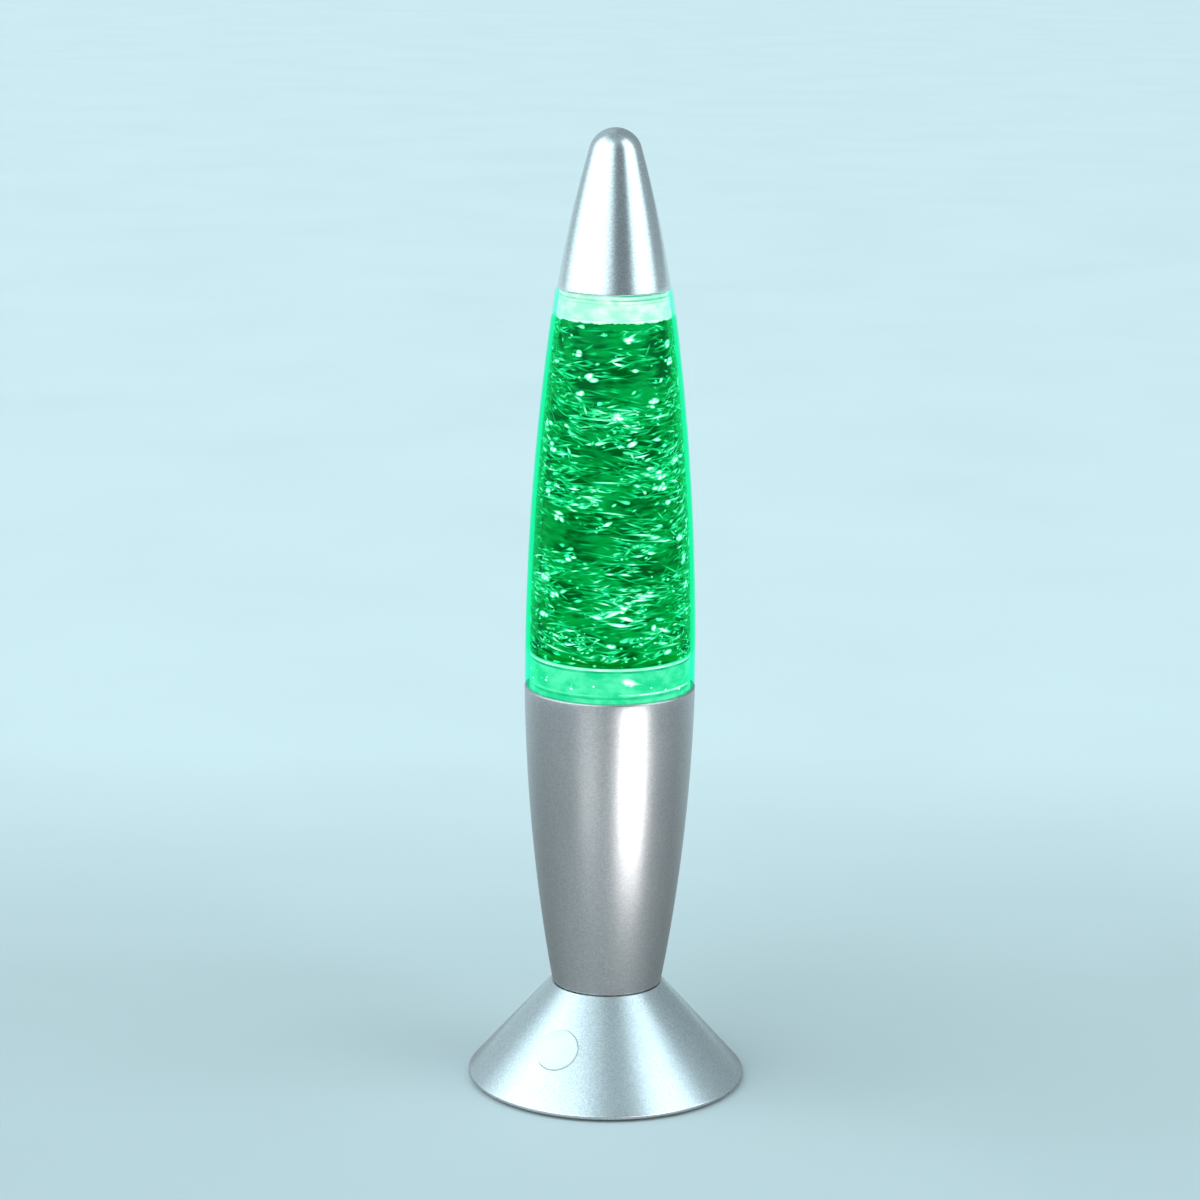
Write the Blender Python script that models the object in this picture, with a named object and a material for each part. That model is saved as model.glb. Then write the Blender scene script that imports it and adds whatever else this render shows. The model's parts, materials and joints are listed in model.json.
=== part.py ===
"""A battery glitter lamp, 330 mm tall, as an assembly of separate pieces.

A silver cone stands on four feet and holds three AAA cells and the push button. A silver sleeve stands on the
cone and holds the motor, the LED ring and the control board. The clear bottle rests on the sleeve: a magnet on
the motor turns the impeller inside it, and a silver nose cap covers its filler.

Sizes are in millimetres and become metres where a mesh is made. +Z is up, the origin is on the table on the
lamp's axis, and the front faces -Y.
"""

import math

import bmesh
import bpy
from mathutils import Matrix, Vector

MM = 0.001
WELD = 1e-6
GAP = 0.3  # air between two pieces that touch on the real lamp
SHARP_EDGE = math.radians(35)

# Sides of round pieces
BIG_ROUND = 40
MID_ROUND = 28
SMALL_ROUND = 16
TINY_ROUND = 12

# Driving dimensions: heights above the table and radii from the lamp's axis
HEIGHT = 330.0
BASE_RADIUS = 48.0
BASE_RIM_Z = 1.0
BASE_LIP_Z = 2.2
NECK_RADIUS = 19.4
NECK_Z = 34.7
SLEEVE_TOP_Z = 140.8
BOTTLE_TOP_Z = 276.4
LIQUID_TOP_Z = 267.7

# Walls
CAST_WALL = 1.6
CAP_WALL = 1.3
BOTTLE_WALL = 1.6

# Both tall profiles are arcs of a circle: (largest radius, height where it is reached, radius of the arc)
SLEEVE_ARC = (29.2, 150.0, 648.0)
BOTTLE_ARC = (29.05, 146.0, 912.0)

# Base cone and its spigot, which the sleeve slides over
SPIGOT_RADIUS = 17.4
SPIGOT_TOP_Z = 40.7
SPIGOT_WALL = 1.4
WEB_Z = (41.0, 42.6)  # the sleeve's web, which sits on the spigot
WIRE_HOLE_RADIUS = 4.2
PLATE_Z = (1.6, 3.4)
PLATE_RADIUS = (45.6, 44.1)
FOOT_RADIUS = 4.5
FOOT_CIRCLE = 38.0
FOOT_HEIGHT = 1.3
FOOT_ANGLES = (45, 135, 225, 315)
PLATE_SCREW_CIRCLE = 36.0
BOSS_RADIUS = 3.0
BOSS_Z = (6.5, 12.0)
WELL_RADIUS = 4.2
RIM_WALL = 1.8
TRIO_ANGLES = (90, 210, 330)  # plate screws, sleeve screws and chassis legs

# Inner chassis, which carries the motor and the LED ring
LEG_CIRCLE = 13.5
LEG_RADIUS = 2.9
LEG_FOOT_Z = 42.9
PLATFORM_Z = (120.3, 122.3)
CHASSIS_RADIUS = 26.4
CHASSIS_TOP_Z = 130.7
LED_BOARD_Z = (124.9, 126.1)
LED_BOARD_RADIUS = (11.2, 23.8)
LED_SIZE = (5.0, 5.0, 1.6)
LED_CIRCLE = 17.0
LED_POST_CIRCLE = 20.5
LED_POST_ANGLES = (45, 225)
LED_WIRE_HOLE = (16.5, -14.5)
MOTOR_RADIUS = 10.0
MOTOR_Z = (103.6, 105.1, 105.4, 120.0)  # end cap from, end cap to, can from, can to
MOTOR_WALL = 0.8
MOTOR_SCREW_X = 6.0
SHAFT_RADIUS = 1.0
SHAFT_Z = (103.0, 129.6)
ARMATURE_RADIUS = 7.4
ARMATURE_Z = (109.0, 117.5)
CARRIER_RADIUS = 9.0
CARRIER_Z = (124.6, 126.6, 130.2)  # hub from, disc from, disc to
ROTOR_MAGNET_X = 5.4
ROTOR_MAGNET_RADIUS = 2.8
ROTOR_MAGNET_Z = (127.9, 130.1)
BOARD_Y = (-3.5, -2.3)
BOARD_Z = (60.0, 90.0)

# Bottle ends
BOTTOM_PLUG_RADIUS = 27.0
BOTTOM_PLUG_Z = (131.0, 152.8)
BOTTOM_PLUG_WALL = 2.0
PLUG_FLOOR_Z = 133.2
PIN_RADIUS = 0.8
PIN_Z = (132.6, 142.9)
PIN_POST = (3.0, 135.0)  # radius and height of the post that holds the pin
IMPELLER_RADIUS = 9.2
IMPELLER_BORE = 1.1
IMPELLER_Z = (135.6, 139.2, 143.2)  # skirt from, disc to, blades to
IMPELLER_POCKET = (10.4, 144.0)  # radius and height of the space that the liquid leaves
TOP_PLUG_Z = 268.0
TOP_PLUG_DECK_Z = 274.5
TOP_PLUG_TAPER = (18.9, 17.6)  # radius at the bottom of its skirt and at the bottle's rim
TOP_PLUG_SKIRT = 1.6
NECK_RING = (13.2, 14.7, 284.0)  # inner and outer radius and height of the ring that holds the cap
FILLER_RADIUS = (4.5, 6.5)
FILLER_TOP_Z = 285.0

# Nose cap: a long side arc that runs into a round nose
CAP_BOTTOM = (19.0, 276.7)
NOSE_RADIUS = 9.0
NOSE_START = math.radians(16.2)  # where the side meets the nose, above the nose's centre
CAP_SIDE_RISE = 0.75  # how far the side arc stands out from its chord
LINER_Z = (278.0, 285.0)
LINER_RADIUS = (15.0, 17.1, 15.9)  # inside, outside at the bottom, outside at the top

# Battery compartment, centred on (0, BAY_Y)
BAY_Y = 2.5
BAY_HALF = (25.5, 16.5)
BAY_WALL = 1.2
BAY_ROOF_Z = (14.3, 15.5)
CELL_RADIUS = 5.25
CELL_LENGTH = 44.5
CELL_PITCH = 10.9
CELL_Z = 8.75
CONTACT_X = (24.7, 25.1)
CONTACT_Z = (5.4, 13.2)
DOOR_Z = (1.6, 3.2)
DOOR_LUG_X = 28.6
SPRING_WIRE = 0.3
HOOK_OFFSET = 5.45  # of each door hook from the door's middle, in Y

# Push button: its own frame lies on the cone's face, with +Z pointing out of the face
BUTTON_ANGLE = 240.0
BUTTON_Z = 18.8
BUTTON_RADIUS = 7.4
BUTTON_HOLE_RADIUS = 7.8
GUIDE_RADIUS = (8.5, 9.7)
GUIDE_DEPTH = 10.3

FINISHES = {  # colour, roughness, metallic, alpha
    "silver_shell": ((0.66, 0.67, 0.68), 0.36, 0.9, 1.0),
    "button_white": ((0.83, 0.85, 0.85), 0.35, 0.0, 1.0),
    "clear_plastic": ((0.80, 1.0, 0.90), 0.05, 0.0, 0.3),
    "green_liquid": ((0.0, 0.52, 0.17), 0.1, 0.0, 0.6),
    "black_plastic": ((0.03, 0.03, 0.035), 0.5, 0.0, 1.0),
    "white_plastic": ((0.85, 0.86, 0.84), 0.4, 0.0, 1.0),
    "black_rubber": ((0.02, 0.02, 0.02), 0.8, 0.0, 1.0),
    "steel": ((0.62, 0.62, 0.6), 0.3, 1.0, 1.0),
    "magnet": ((0.35, 0.35, 0.37), 0.35, 1.0, 1.0),
    "copper": ((0.72, 0.35, 0.18), 0.35, 1.0, 1.0),
    "circuit_board": ((0.03, 0.25, 0.09), 0.4, 0.0, 1.0),
    "led_lens": ((0.93, 0.95, 0.85), 0.2, 0.0, 1.0),
    "cell_wrap": ((0.09, 0.12, 0.16), 0.3, 0.0, 1.0),
    "red_wire": ((0.6, 0.03, 0.03), 0.4, 0.0, 1.0),
    "black_wire": ((0.02, 0.02, 0.02), 0.4, 0.0, 1.0),
}


def clear_scene():
    for thing in list(bpy.data.objects):
        bpy.data.objects.remove(thing)


def material(name):
    """The Principled material of that name in FINISHES, made once."""
    made = bpy.data.materials.get(name)
    if made is None:
        colour, roughness, metallic, alpha = FINISHES[name]
        made = bpy.data.materials.new(name)
        made.use_nodes = True
        shader = made.node_tree.nodes["Principled BSDF"]
        shader.inputs["Base Color"].default_value = (*colour, 1.0)
        shader.inputs["Roughness"].default_value = roughness
        shader.inputs["Metallic"].default_value = metallic
        shader.inputs["Alpha"].default_value = alpha
    return made


def add_frame(name, matrix=None):
    """An empty that pieces hang from."""
    frame = bpy.data.objects.new(name, None)
    bpy.context.scene.collection.objects.link(frame)
    frame.matrix_world = matrix or Matrix.Identity(4)
    return frame


def add_piece(name, mesh, finish, frame, at=(0, 0, 0)):
    """An object from a bmesh, in frame's coordinates, with its origin at the point at."""
    bmesh.ops.remove_doubles(mesh, verts=mesh.verts, dist=WELD)
    bmesh.ops.recalc_face_normals(mesh, faces=mesh.faces)
    data = bpy.data.meshes.new(name)
    mesh.to_mesh(data)
    mesh.free()
    data.shade_smooth()
    data.set_sharp_from_angle(angle=SHARP_EDGE)
    piece = bpy.data.objects.new(name, data)
    if finish:
        data.materials.append(material(finish))
    bpy.context.scene.collection.objects.link(piece)
    piece.parent = frame
    piece.location = Vector(at) * MM
    return piece


def spin_outline(mesh, outline, sides, at=(0, 0)):
    """Adds a solid of revolution to mesh. The outline is a closed loop of (radius, height) points."""
    x, y = at
    points = [mesh.verts.new(Vector((x + radius, y, height)) * MM) for radius, height in outline]
    pairs = zip(outline, outline[1:] + outline[:1], points, points[1:] + points[:1])
    edges = [mesh.edges.new((start, stop)) for (near, _), (far, _), start, stop in pairs if near or far]
    bmesh.ops.spin(
        mesh,
        geom=points + edges,
        cent=(x * MM, y * MM, 0),
        axis=(0, 0, 1),
        angle=2 * math.pi,
        steps=sides,
        use_merge=True,
    )


def turned(name, outline, finish, frame, sides=SMALL_ROUND, at=(0, 0, 0)):
    """A piece turned about Z from a closed outline of (radius, height) points."""
    mesh = bmesh.new()
    spin_outline(mesh, outline, sides)
    return add_piece(name, mesh, finish, frame, at)


def ring(inner, outer, low, high):
    """The outline of a plain ring, or of a disc where inner is 0."""
    return [(inner, low), (outer, low), (outer, high), (inner, high)]


def add_rod(mesh, radius, low, high, at=(0, 0), sides=SMALL_ROUND):
    """Adds an upright cylinder to mesh, and returns its points."""
    middle = Matrix.Translation(Vector((at[0], at[1], (low + high) / 2)) * MM)
    made = bmesh.ops.create_cone(
        mesh,
        cap_ends=True,
        segments=sides,
        radius1=radius * MM,
        radius2=radius * MM,
        depth=(high - low) * MM,
        matrix=middle,
    )
    return made["verts"]


def add_block(mesh, low, high, turn=0):
    """Adds a box between two corners to mesh, turned by that many degrees about Z."""
    low, high = Vector(low) * MM, Vector(high) * MM
    size = Matrix.Diagonal((*(high - low), 1))
    spot = Matrix.Rotation(math.radians(turn), 4, "Z") @ Matrix.Translation((low + high) / 2)
    bmesh.ops.create_cube(mesh, size=1, matrix=spot @ size)


def block(name, low, high, finish, frame, turn=0, bevel=0):
    """A box piece, with its edges bevelled by that much if bevel is set."""
    mesh = bmesh.new()
    add_block(mesh, low, high, turn)
    if bevel:
        bmesh.ops.bevel(mesh, geom=mesh.edges, offset=bevel * MM, segments=1, affect="EDGES")
    return add_piece(name, mesh, finish, frame)


def combine(target, operation, mesh, label, frame=None):
    """Cuts mesh out of target, or joins it on, with a Boolean whose other side is a hidden helper."""
    helper = add_piece(f"{target.name}_{label}", mesh, None, frame or target.parent)
    helper.hide_render = True
    helper.display_type = "WIRE"
    boolean = target.modifiers.new(label, "BOOLEAN")
    boolean.operation = operation
    boolean.solver = "EXACT"
    boolean.object = helper


def cut(target, mesh, label, frame=None):
    combine(target, "DIFFERENCE", mesh, label, frame)


def join(target, mesh, label, frame=None):
    combine(target, "UNION", mesh, label, frame)


def on_circle(radius, angle):
    """The point at that radius from the axis, at that many degrees from +X."""
    turn = math.radians(angle)
    return radius * math.cos(turn), radius * math.sin(turn)


def steps_between(low, high, count):
    return [low + (high - low) * step / count for step in range(count + 1)]


def arc_radius(arc, height):
    """The radius of a tall arc profile at a height."""
    largest, middle, bend = arc
    return largest - bend + math.sqrt(bend * bend - (height - middle) ** 2)


def arc_profile(arc, low, high, inset, count):
    """Points along a tall arc profile, moved in by inset."""
    return [(arc_radius(arc, height) - inset, height) for height in steps_between(low, high, count)]


def cone_radius(height):
    """Radius of the base cone's outer face at a height."""
    share = (height - BASE_LIP_Z) / (NECK_Z - BASE_LIP_Z)
    return BASE_RADIUS + (NECK_RADIUS - BASE_RADIUS) * share


CONE_SLOPE = (BASE_RADIUS - NECK_RADIUS) / (NECK_Z - BASE_LIP_Z)
CONE_WALL_ACROSS = CAST_WALL * math.hypot(1, CONE_SLOPE)  # the cone's wall, measured level


def cone_height(radius):
    """Height of the middle of the cone's wall at a radius."""
    return BASE_LIP_Z + (BASE_RADIUS - CONE_WALL_ACROSS / 2 - radius) / CONE_SLOPE


def screw(name, at, frame, head, shank, sides=TINY_ROUND):
    """A pan-head screw, head down or up. head is (radius, outer height, inner height), shank is (radius, tip)."""
    head_radius, outer, inner = head
    shank_radius, tip = shank
    edge = outer + (inner - outer) * 0.4
    outline = [(0, outer), (head_radius * 0.75, outer), (head_radius, edge), (head_radius, inner)]
    outline += [(shank_radius, inner), (shank_radius, tip), (0, tip)]
    return turned(name, outline, "steel", frame, sides, (*at, 0))


def smooth_route(points, between=4):
    """Points along a Catmull-Rom curve through the route's own points."""
    ends = [points[0] * 2 - points[1], *points, points[-1] * 2 - points[-2]]
    route = []
    for before, start, stop, after in zip(ends, ends[1:], ends[2:], ends[3:]):
        for step in range(between):
            t = step / between
            bend = (before * -1 + start * 3 - stop * 3 + after) * t**3
            slope = (before * 2 - start * 5 + stop * 4 - after) * t**2
            route.append((start * 2 + (stop - before) * t + slope + bend) / 2)
    return [*route, points[-1]]


def wire(name, route, finish, frame, radius=0.6):
    """A wire along a smooth route through the given points, with closed ends."""
    curve = bpy.data.curves.new(name, "CURVE")
    curve.dimensions = "3D"
    curve.bevel_depth = radius * MM
    curve.bevel_resolution = 2
    curve.use_fill_caps = True
    line = smooth_route([Vector(point) for point in route])
    spline = curve.splines.new("POLY")
    spline.points.add(len(line) - 1)
    for point, place in zip(spline.points, line):
        point.co = (*(place * MM), 1)
    curve.materials.append(material(finish))
    piece = bpy.data.objects.new(name, curve)
    bpy.context.scene.collection.objects.link(piece)
    piece.parent = frame
    return piece


def add_tube(mesh, line, radius, sides=5):
    """Adds a closed tube along a line of points to mesh."""
    rings = []
    for index, place in enumerate(line):
        ahead = line[min(index + 1, len(line) - 1)] - line[max(index - 1, 0)]
        across = ahead.orthogonal().normalized() if index == 0 else rings[-1][1]
        across = (across - ahead * (across.dot(ahead) / ahead.length_squared)).normalized()
        over = ahead.normalized().cross(across)
        points = []
        for side in range(sides):
            turn = 2 * math.pi * side / sides
            around = across * math.cos(turn) + over * math.sin(turn)
            points.append(mesh.verts.new((place + around * radius) * MM))
        rings.append((points, across))
    for (first, _), (second, _) in zip(rings, rings[1:]):
        for side in range(sides):
            other = (side + 1) % sides
            mesh.faces.new((first[side], first[other], second[other], second[side]))
    mesh.faces.new(reversed(rings[0][0]))
    mesh.faces.new(rings[-1][0])


def coil_line(start_radius, end_radius, low, high, turns, per_turn=9):
    """Points along a coil about Z whose radius goes from one value to another."""
    count = int(turns * per_turn)
    line = []
    for step in range(count + 1):
        share = step / count
        radius = start_radius + (end_radius - start_radius) * share
        x, y = on_circle(radius, 360 * turns * share)
        line.append(Vector((x, y, low + (high - low) * share)))
    return line


def cap_outline(inset):
    """The nose cap's face from its rim to its tip, moved in by inset."""
    nose_z = HEIGHT - NOSE_RADIUS
    meet = (NOSE_RADIUS * math.cos(NOSE_START), nose_z + NOSE_RADIUS * math.sin(NOSE_START))
    rim = Vector(CAP_BOTTOM)
    chord = Vector(meet) - rim
    outwards = Vector((chord.y, -chord.x)).normalized()
    side = []
    for share in steps_between(0, 1, 5):
        rise = 4 * CAP_SIDE_RISE * share * (1 - share)
        place = rim + chord * share + outwards * rise
        side.append((place.x - inset, place.y))
    nose = []
    for turn in steps_between(NOSE_START, math.pi / 2, 4)[1:]:
        radius = NOSE_RADIUS - inset
        nose.append((radius * math.cos(turn), nose_z + radius * math.sin(turn)))
    nose[-1] = (0, HEIGHT - inset)
    return side + nose


def make_cap(frame):
    outline = cap_outline(0) + cap_outline(CAP_WALL)[::-1]
    turned("top_cap", outline, "silver_shell", frame, BIG_ROUND)
    inside, wide, narrow = LINER_RADIUS
    low, high = LINER_Z
    liner = [(inside, low), (wide, low), (narrow, high), (inside, high)]
    turned("cap_liner", liner, "black_plastic", frame, MID_ROUND)


def make_bottle(frame):
    low, high = SLEEVE_TOP_Z + GAP, BOTTLE_TOP_Z
    outline = arc_profile(BOTTLE_ARC, low, high, 0, 7)
    outline += arc_profile(BOTTLE_ARC, low, high, BOTTLE_WALL, 7)[::-1]
    turned("bottle", outline, "clear_plastic", frame, BIG_ROUND)

    plug_low, plug_high = BOTTOM_PLUG_Z
    inner = BOTTOM_PLUG_RADIUS - BOTTOM_PLUG_WALL
    post_radius, post_top = PIN_POST
    socket, socket_z = PIN_RADIUS + GAP, PIN_Z[0] - GAP
    outline = [(0, plug_low), (BOTTOM_PLUG_RADIUS, plug_low), (BOTTOM_PLUG_RADIUS, plug_high)]
    outline += [(inner, plug_high), (inner, PLUG_FLOOR_Z), (post_radius, PLUG_FLOOR_Z)]
    outline += [(post_radius, post_top), (socket, post_top), (socket, socket_z), (0, socket_z)]
    turned("bottom_plug", outline, "clear_plastic", frame, BIG_ROUND)

    skirt, rim = TOP_PLUG_TAPER
    bore, filler = FILLER_RADIUS
    ring_inner, ring_outer, ring_top = NECK_RING
    inner = skirt - TOP_PLUG_SKIRT
    outline = [(bore, TOP_PLUG_DECK_Z), (rim - TOP_PLUG_SKIRT, TOP_PLUG_DECK_Z), (inner, TOP_PLUG_Z)]
    outline += [(skirt, TOP_PLUG_Z), (rim, BOTTLE_TOP_Z), (ring_outer, BOTTLE_TOP_Z)]
    outline += [(ring_outer, ring_top), (ring_inner, ring_top), (ring_inner, BOTTLE_TOP_Z)]
    outline += [(filler, BOTTLE_TOP_Z), (filler, FILLER_TOP_Z), (bore, FILLER_TOP_Z)]
    turned("top_plug", outline, "clear_plastic", frame, MID_ROUND)
    stem, flange = bore - GAP, FILLER_TOP_Z + GAP
    outline = [(0, TOP_PLUG_DECK_Z + 1.5), (stem, TOP_PLUG_DECK_Z + 1.5), (stem, flange), (filler, flange)]
    outline += [(filler - 0.3, flange + 1.7), (0, flange + 1.7)]
    turned("filler_stopper", outline, "black_rubber", frame, SMALL_ROUND)


def make_liquid(frame):
    """The water fills the bottle up to the top plug, round the bottom plug and the impeller."""
    pocket_radius, pocket_top = IMPELLER_POCKET
    plug_inner = BOTTOM_PLUG_RADIUS - BOTTOM_PLUG_WALL - GAP
    floor = PLUG_FLOOR_Z + GAP
    shelf = BOTTOM_PLUG_Z[1] + GAP
    outline = [(pocket_radius, floor), (plug_inner, floor), (plug_inner, shelf)]
    outline += arc_profile(BOTTLE_ARC, shelf, LIQUID_TOP_Z, BOTTLE_WALL + GAP, 6)
    outline += [(0, LIQUID_TOP_Z), (0, pocket_top), (pocket_radius, pocket_top)]
    turned("liquid", outline, "green_liquid", frame, BIG_ROUND)


def make_impeller(bottle_frame, impeller_frame):
    """A four-bladed magnetic impeller on a steel pin in the bottle's floor."""
    turned("impeller_pin", ring(0, PIN_RADIUS, *PIN_Z), "steel", bottle_frame, TINY_ROUND)
    low, disc, tip = IMPELLER_Z
    hub = disc + 1.5
    retainer = ring(IMPELLER_BORE, 2.4, hub + GAP, hub + 1.7)
    turned("impeller_retainer", retainer, "white_plastic", bottle_frame)

    ceiling = disc - 1.0
    outline = [(IMPELLER_BORE, low), (3.7, low), (3.7, ceiling), (7.9, ceiling), (7.9, low)]
    outline += [(IMPELLER_RADIUS, low), (IMPELLER_RADIUS, disc), (2.5, disc), (2.5, hub), (IMPELLER_BORE, hub)]
    impeller = turned("impeller", outline, "white_plastic", impeller_frame, 24)
    blades = bmesh.new()
    for turn in (0, 90, 180, 270):
        add_block(blades, (3.2, -0.6, disc - 0.5), (IMPELLER_RADIUS - 0.2, 0.6, tip), turn + 22.5)
    join(impeller, blades, "blades")
    magnet = ring(3.7 + GAP, 7.9 - GAP, low + GAP, ceiling - GAP)
    turned("impeller_magnet", magnet, "magnet", impeller_frame, 24)


def make_rotor(frame):
    """What the motor turns: its shaft and armature, and the carrier with two magnets on the shaft's end."""
    bore = SHAFT_RADIUS + GAP
    turned("motor_shaft", ring(0, SHAFT_RADIUS, *SHAFT_Z), "steel", frame, TINY_ROUND)
    armature = turned("motor_armature", ring(bore, ARMATURE_RADIUS, *ARMATURE_Z), "copper", frame, 24)
    low, high = ARMATURE_Z
    slots = bmesh.new()
    for turn in TRIO_ANGLES:
        add_block(slots, (4.2, -0.7, low - 1), (ARMATURE_RADIUS + 1, 0.7, high + 1), turn)
    cut(armature, slots, "winding_slots")

    low, disc, high = CARRIER_Z
    hub = bore + 1.3
    outline = [(bore, low), (hub, low), (hub, disc), (CARRIER_RADIUS, disc), (CARRIER_RADIUS, high), (bore, high)]
    carrier = turned("magnet_carrier", outline, "white_plastic", frame, 24)
    floor = ROTOR_MAGNET_Z[0] - GAP
    pockets = bmesh.new()
    for side in (-1, 1):
        add_rod(pockets, ROTOR_MAGNET_RADIUS + GAP, floor, high + 1, (side * ROTOR_MAGNET_X, 0))
    cut(carrier, pockets, "magnet_pockets")
    for number, side in enumerate((-1, 1), 1):
        place = (side * ROTOR_MAGNET_X, 0, 0)
        outline = ring(0, ROTOR_MAGNET_RADIUS, *ROTOR_MAGNET_Z)
        turned(f"rotor_magnet_{number}", outline, "magnet", frame, at=place)


def make_motor(frame):
    """The motor's can, its end cap and the two screws that hold it under the chassis platform."""
    bore, bearing = SHAFT_RADIUS + GAP, 3.0
    cap_low, cap_high, low, high = MOTOR_Z
    inner = MOTOR_RADIUS - MOTOR_WALL
    ceiling = high - MOTOR_WALL
    outline = [(bore, ceiling), (inner, ceiling), (inner, low), (MOTOR_RADIUS, low), (MOTOR_RADIUS, high)]
    outline += [(bearing, high), (bearing, high + 1.2), (bore, high + 1.2)]
    can = turned("motor_can", outline, "steel", frame, MID_ROUND)
    holes = bmesh.new()
    for side in (-1, 1):
        add_rod(holes, 1.1, ceiling - 1, high + 1, (side * MOTOR_SCREW_X, 0), TINY_ROUND)
    cut(can, holes, "screw_holes")
    outline = [(bore, cap_low - 1.2), (bearing, cap_low - 1.2), (bearing, cap_low), (MOTOR_RADIUS, cap_low)]
    outline += [(MOTOR_RADIUS, cap_high), (inner - GAP, cap_high), (inner - GAP, low + 1.6), (bore, low + 1.6)]
    turned("motor_end_cap", outline, "black_plastic", frame, MID_ROUND)
    head = PLATFORM_Z[1] + GAP
    for number, side in enumerate((-1, 1), 1):
        place = (side * MOTOR_SCREW_X, 0)
        screw(f"motor_screw_{number}", place, frame, (1.9, head + 1.2, head), (0.8, ceiling - 0.6))


def make_chassis(frame):
    """The tower on three legs that carries the motor under its platform and the LED ring on top."""
    low, high = PLATFORM_Z
    wall = CHASSIS_RADIUS - 1.4
    outline = [(3.4, low), (CHASSIS_RADIUS, low), (CHASSIS_RADIUS, CHASSIS_TOP_Z), (wall, CHASSIS_TOP_Z)]
    outline += [(wall, high), (3.4, high)]
    chassis = turned("chassis", outline, "black_plastic", frame, MID_ROUND)
    legs = bmesh.new()
    for angle in TRIO_ANGLES:
        add_rod(legs, LEG_RADIUS, LEG_FOOT_Z, low + 1, on_circle(LEG_CIRCLE, angle))
    join(chassis, legs, "legs")
    tie = bmesh.new()
    spin_outline(tie, ring(LEG_CIRCLE - 1.2, LEG_CIRCLE + 1.2, LEG_FOOT_Z + 1.0, LEG_FOOT_Z + 5.0), 24)
    join(chassis, tie, "leg_tie")
    posts = bmesh.new()
    for angle in LED_POST_ANGLES:
        add_rod(posts, 2.0, high - 0.5, LED_BOARD_Z[0] - GAP, on_circle(LED_POST_CIRCLE, angle), TINY_ROUND)
    join(chassis, posts, "led_posts")
    holes = bmesh.new()
    for angle in TRIO_ANGLES:
        add_rod(holes, 1.4, LEG_FOOT_Z - 1, 55.0, on_circle(LEG_CIRCLE, angle), TINY_ROUND)
    for side in (-1, 1):
        add_rod(holes, 1.1, low - 1, high + 1, (side * MOTOR_SCREW_X, 0), TINY_ROUND)
    for angle in LED_POST_ANGLES:
        add_rod(holes, 1.1, low - 1, LED_BOARD_Z[0] + 1, on_circle(LED_POST_CIRCLE, angle), TINY_ROUND)
    add_rod(holes, 1.8, low - 1, high + 1, LED_WIRE_HOLE, TINY_ROUND)
    cut(chassis, holes, "holes")


def make_lights(frame):
    low, high = LED_BOARD_Z
    board = turned("led_board", ring(*LED_BOARD_RADIUS, low, high), "circuit_board", frame, MID_ROUND)
    holes = bmesh.new()
    for angle in LED_POST_ANGLES:
        add_rod(holes, 1.2, low - 1, high + 1, on_circle(LED_POST_CIRCLE, angle), TINY_ROUND)
    cut(board, holes, "screw_holes")
    for number, angle in enumerate(LED_POST_ANGLES, 1):
        place = on_circle(LED_POST_CIRCLE, angle)
        head = (1.9, high + 1.4, high + GAP)
        screw(f"led_board_screw_{number}", place, frame, head, (0.8, PLATFORM_Z[0] + 0.7))
    length, width, thick = LED_SIZE
    for number, angle in enumerate(TRIO_ANGLES, 1):
        near = (LED_CIRCLE - length / 2, -width / 2, high + GAP)
        far = (LED_CIRCLE + length / 2, width / 2, high + GAP + thick)
        block(f"led_{number}", near, far, "led_lens", frame, angle, 0.3)


def make_control_board(frame):
    """The board that drives the motor and changes the colour, upright against two chassis legs."""
    front, back = BOARD_Y
    low, high = BOARD_Z
    board = block("control_board", (-13.0, front, low), (13.0, back, high), "circuit_board", frame)
    face = back - 0.2
    parts = bmesh.new()
    add_block(parts, (-3.0, face, low + 10), (3.0, face + 2.0, low + 19))  # control chip
    add_block(parts, (6.0, face, low + 6), (9.5, face + 1.3, low + 8))  # resistors
    add_block(parts, (6.0, face, low + 12), (9.5, face + 1.3, low + 14))
    add_block(parts, (-10.5, face, low + 4), (-5.5, face + 4.5, low + 8.5))  # plug for the leads
    join(board, parts, "components")


def make_sleeve(frame):
    """The sleeve, with a web across it that rests on the spigot, and the screws that hold the chassis to both."""
    low, high = WEB_Z
    socket = SPIGOT_RADIUS + GAP
    outline = [(WIRE_HOLE_RADIUS, low), (socket, low), (socket, NECK_Z + GAP)]
    outline += arc_profile(SLEEVE_ARC, NECK_Z + GAP, SLEEVE_TOP_Z, 0, 7)
    outline += arc_profile(SLEEVE_ARC, high, SLEEVE_TOP_Z, CAST_WALL, 6)[::-1]
    outline += [(WIRE_HOLE_RADIUS, high)]
    sleeve = turned("sleeve", outline, "silver_shell", frame, BIG_ROUND)
    holes = bmesh.new()
    for angle in TRIO_ANGLES:
        add_rod(holes, 1.5, low - 1, high + 1, on_circle(LEG_CIRCLE, angle), TINY_ROUND)
    cut(sleeve, holes, "screw_holes")
    for number, angle in enumerate(TRIO_ANGLES, 1):
        place = on_circle(LEG_CIRCLE, angle)
        screw(f"sleeve_screw_{number}", place, frame, (2.4, 37.0, 38.8), (1.1, 52.0))


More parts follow.
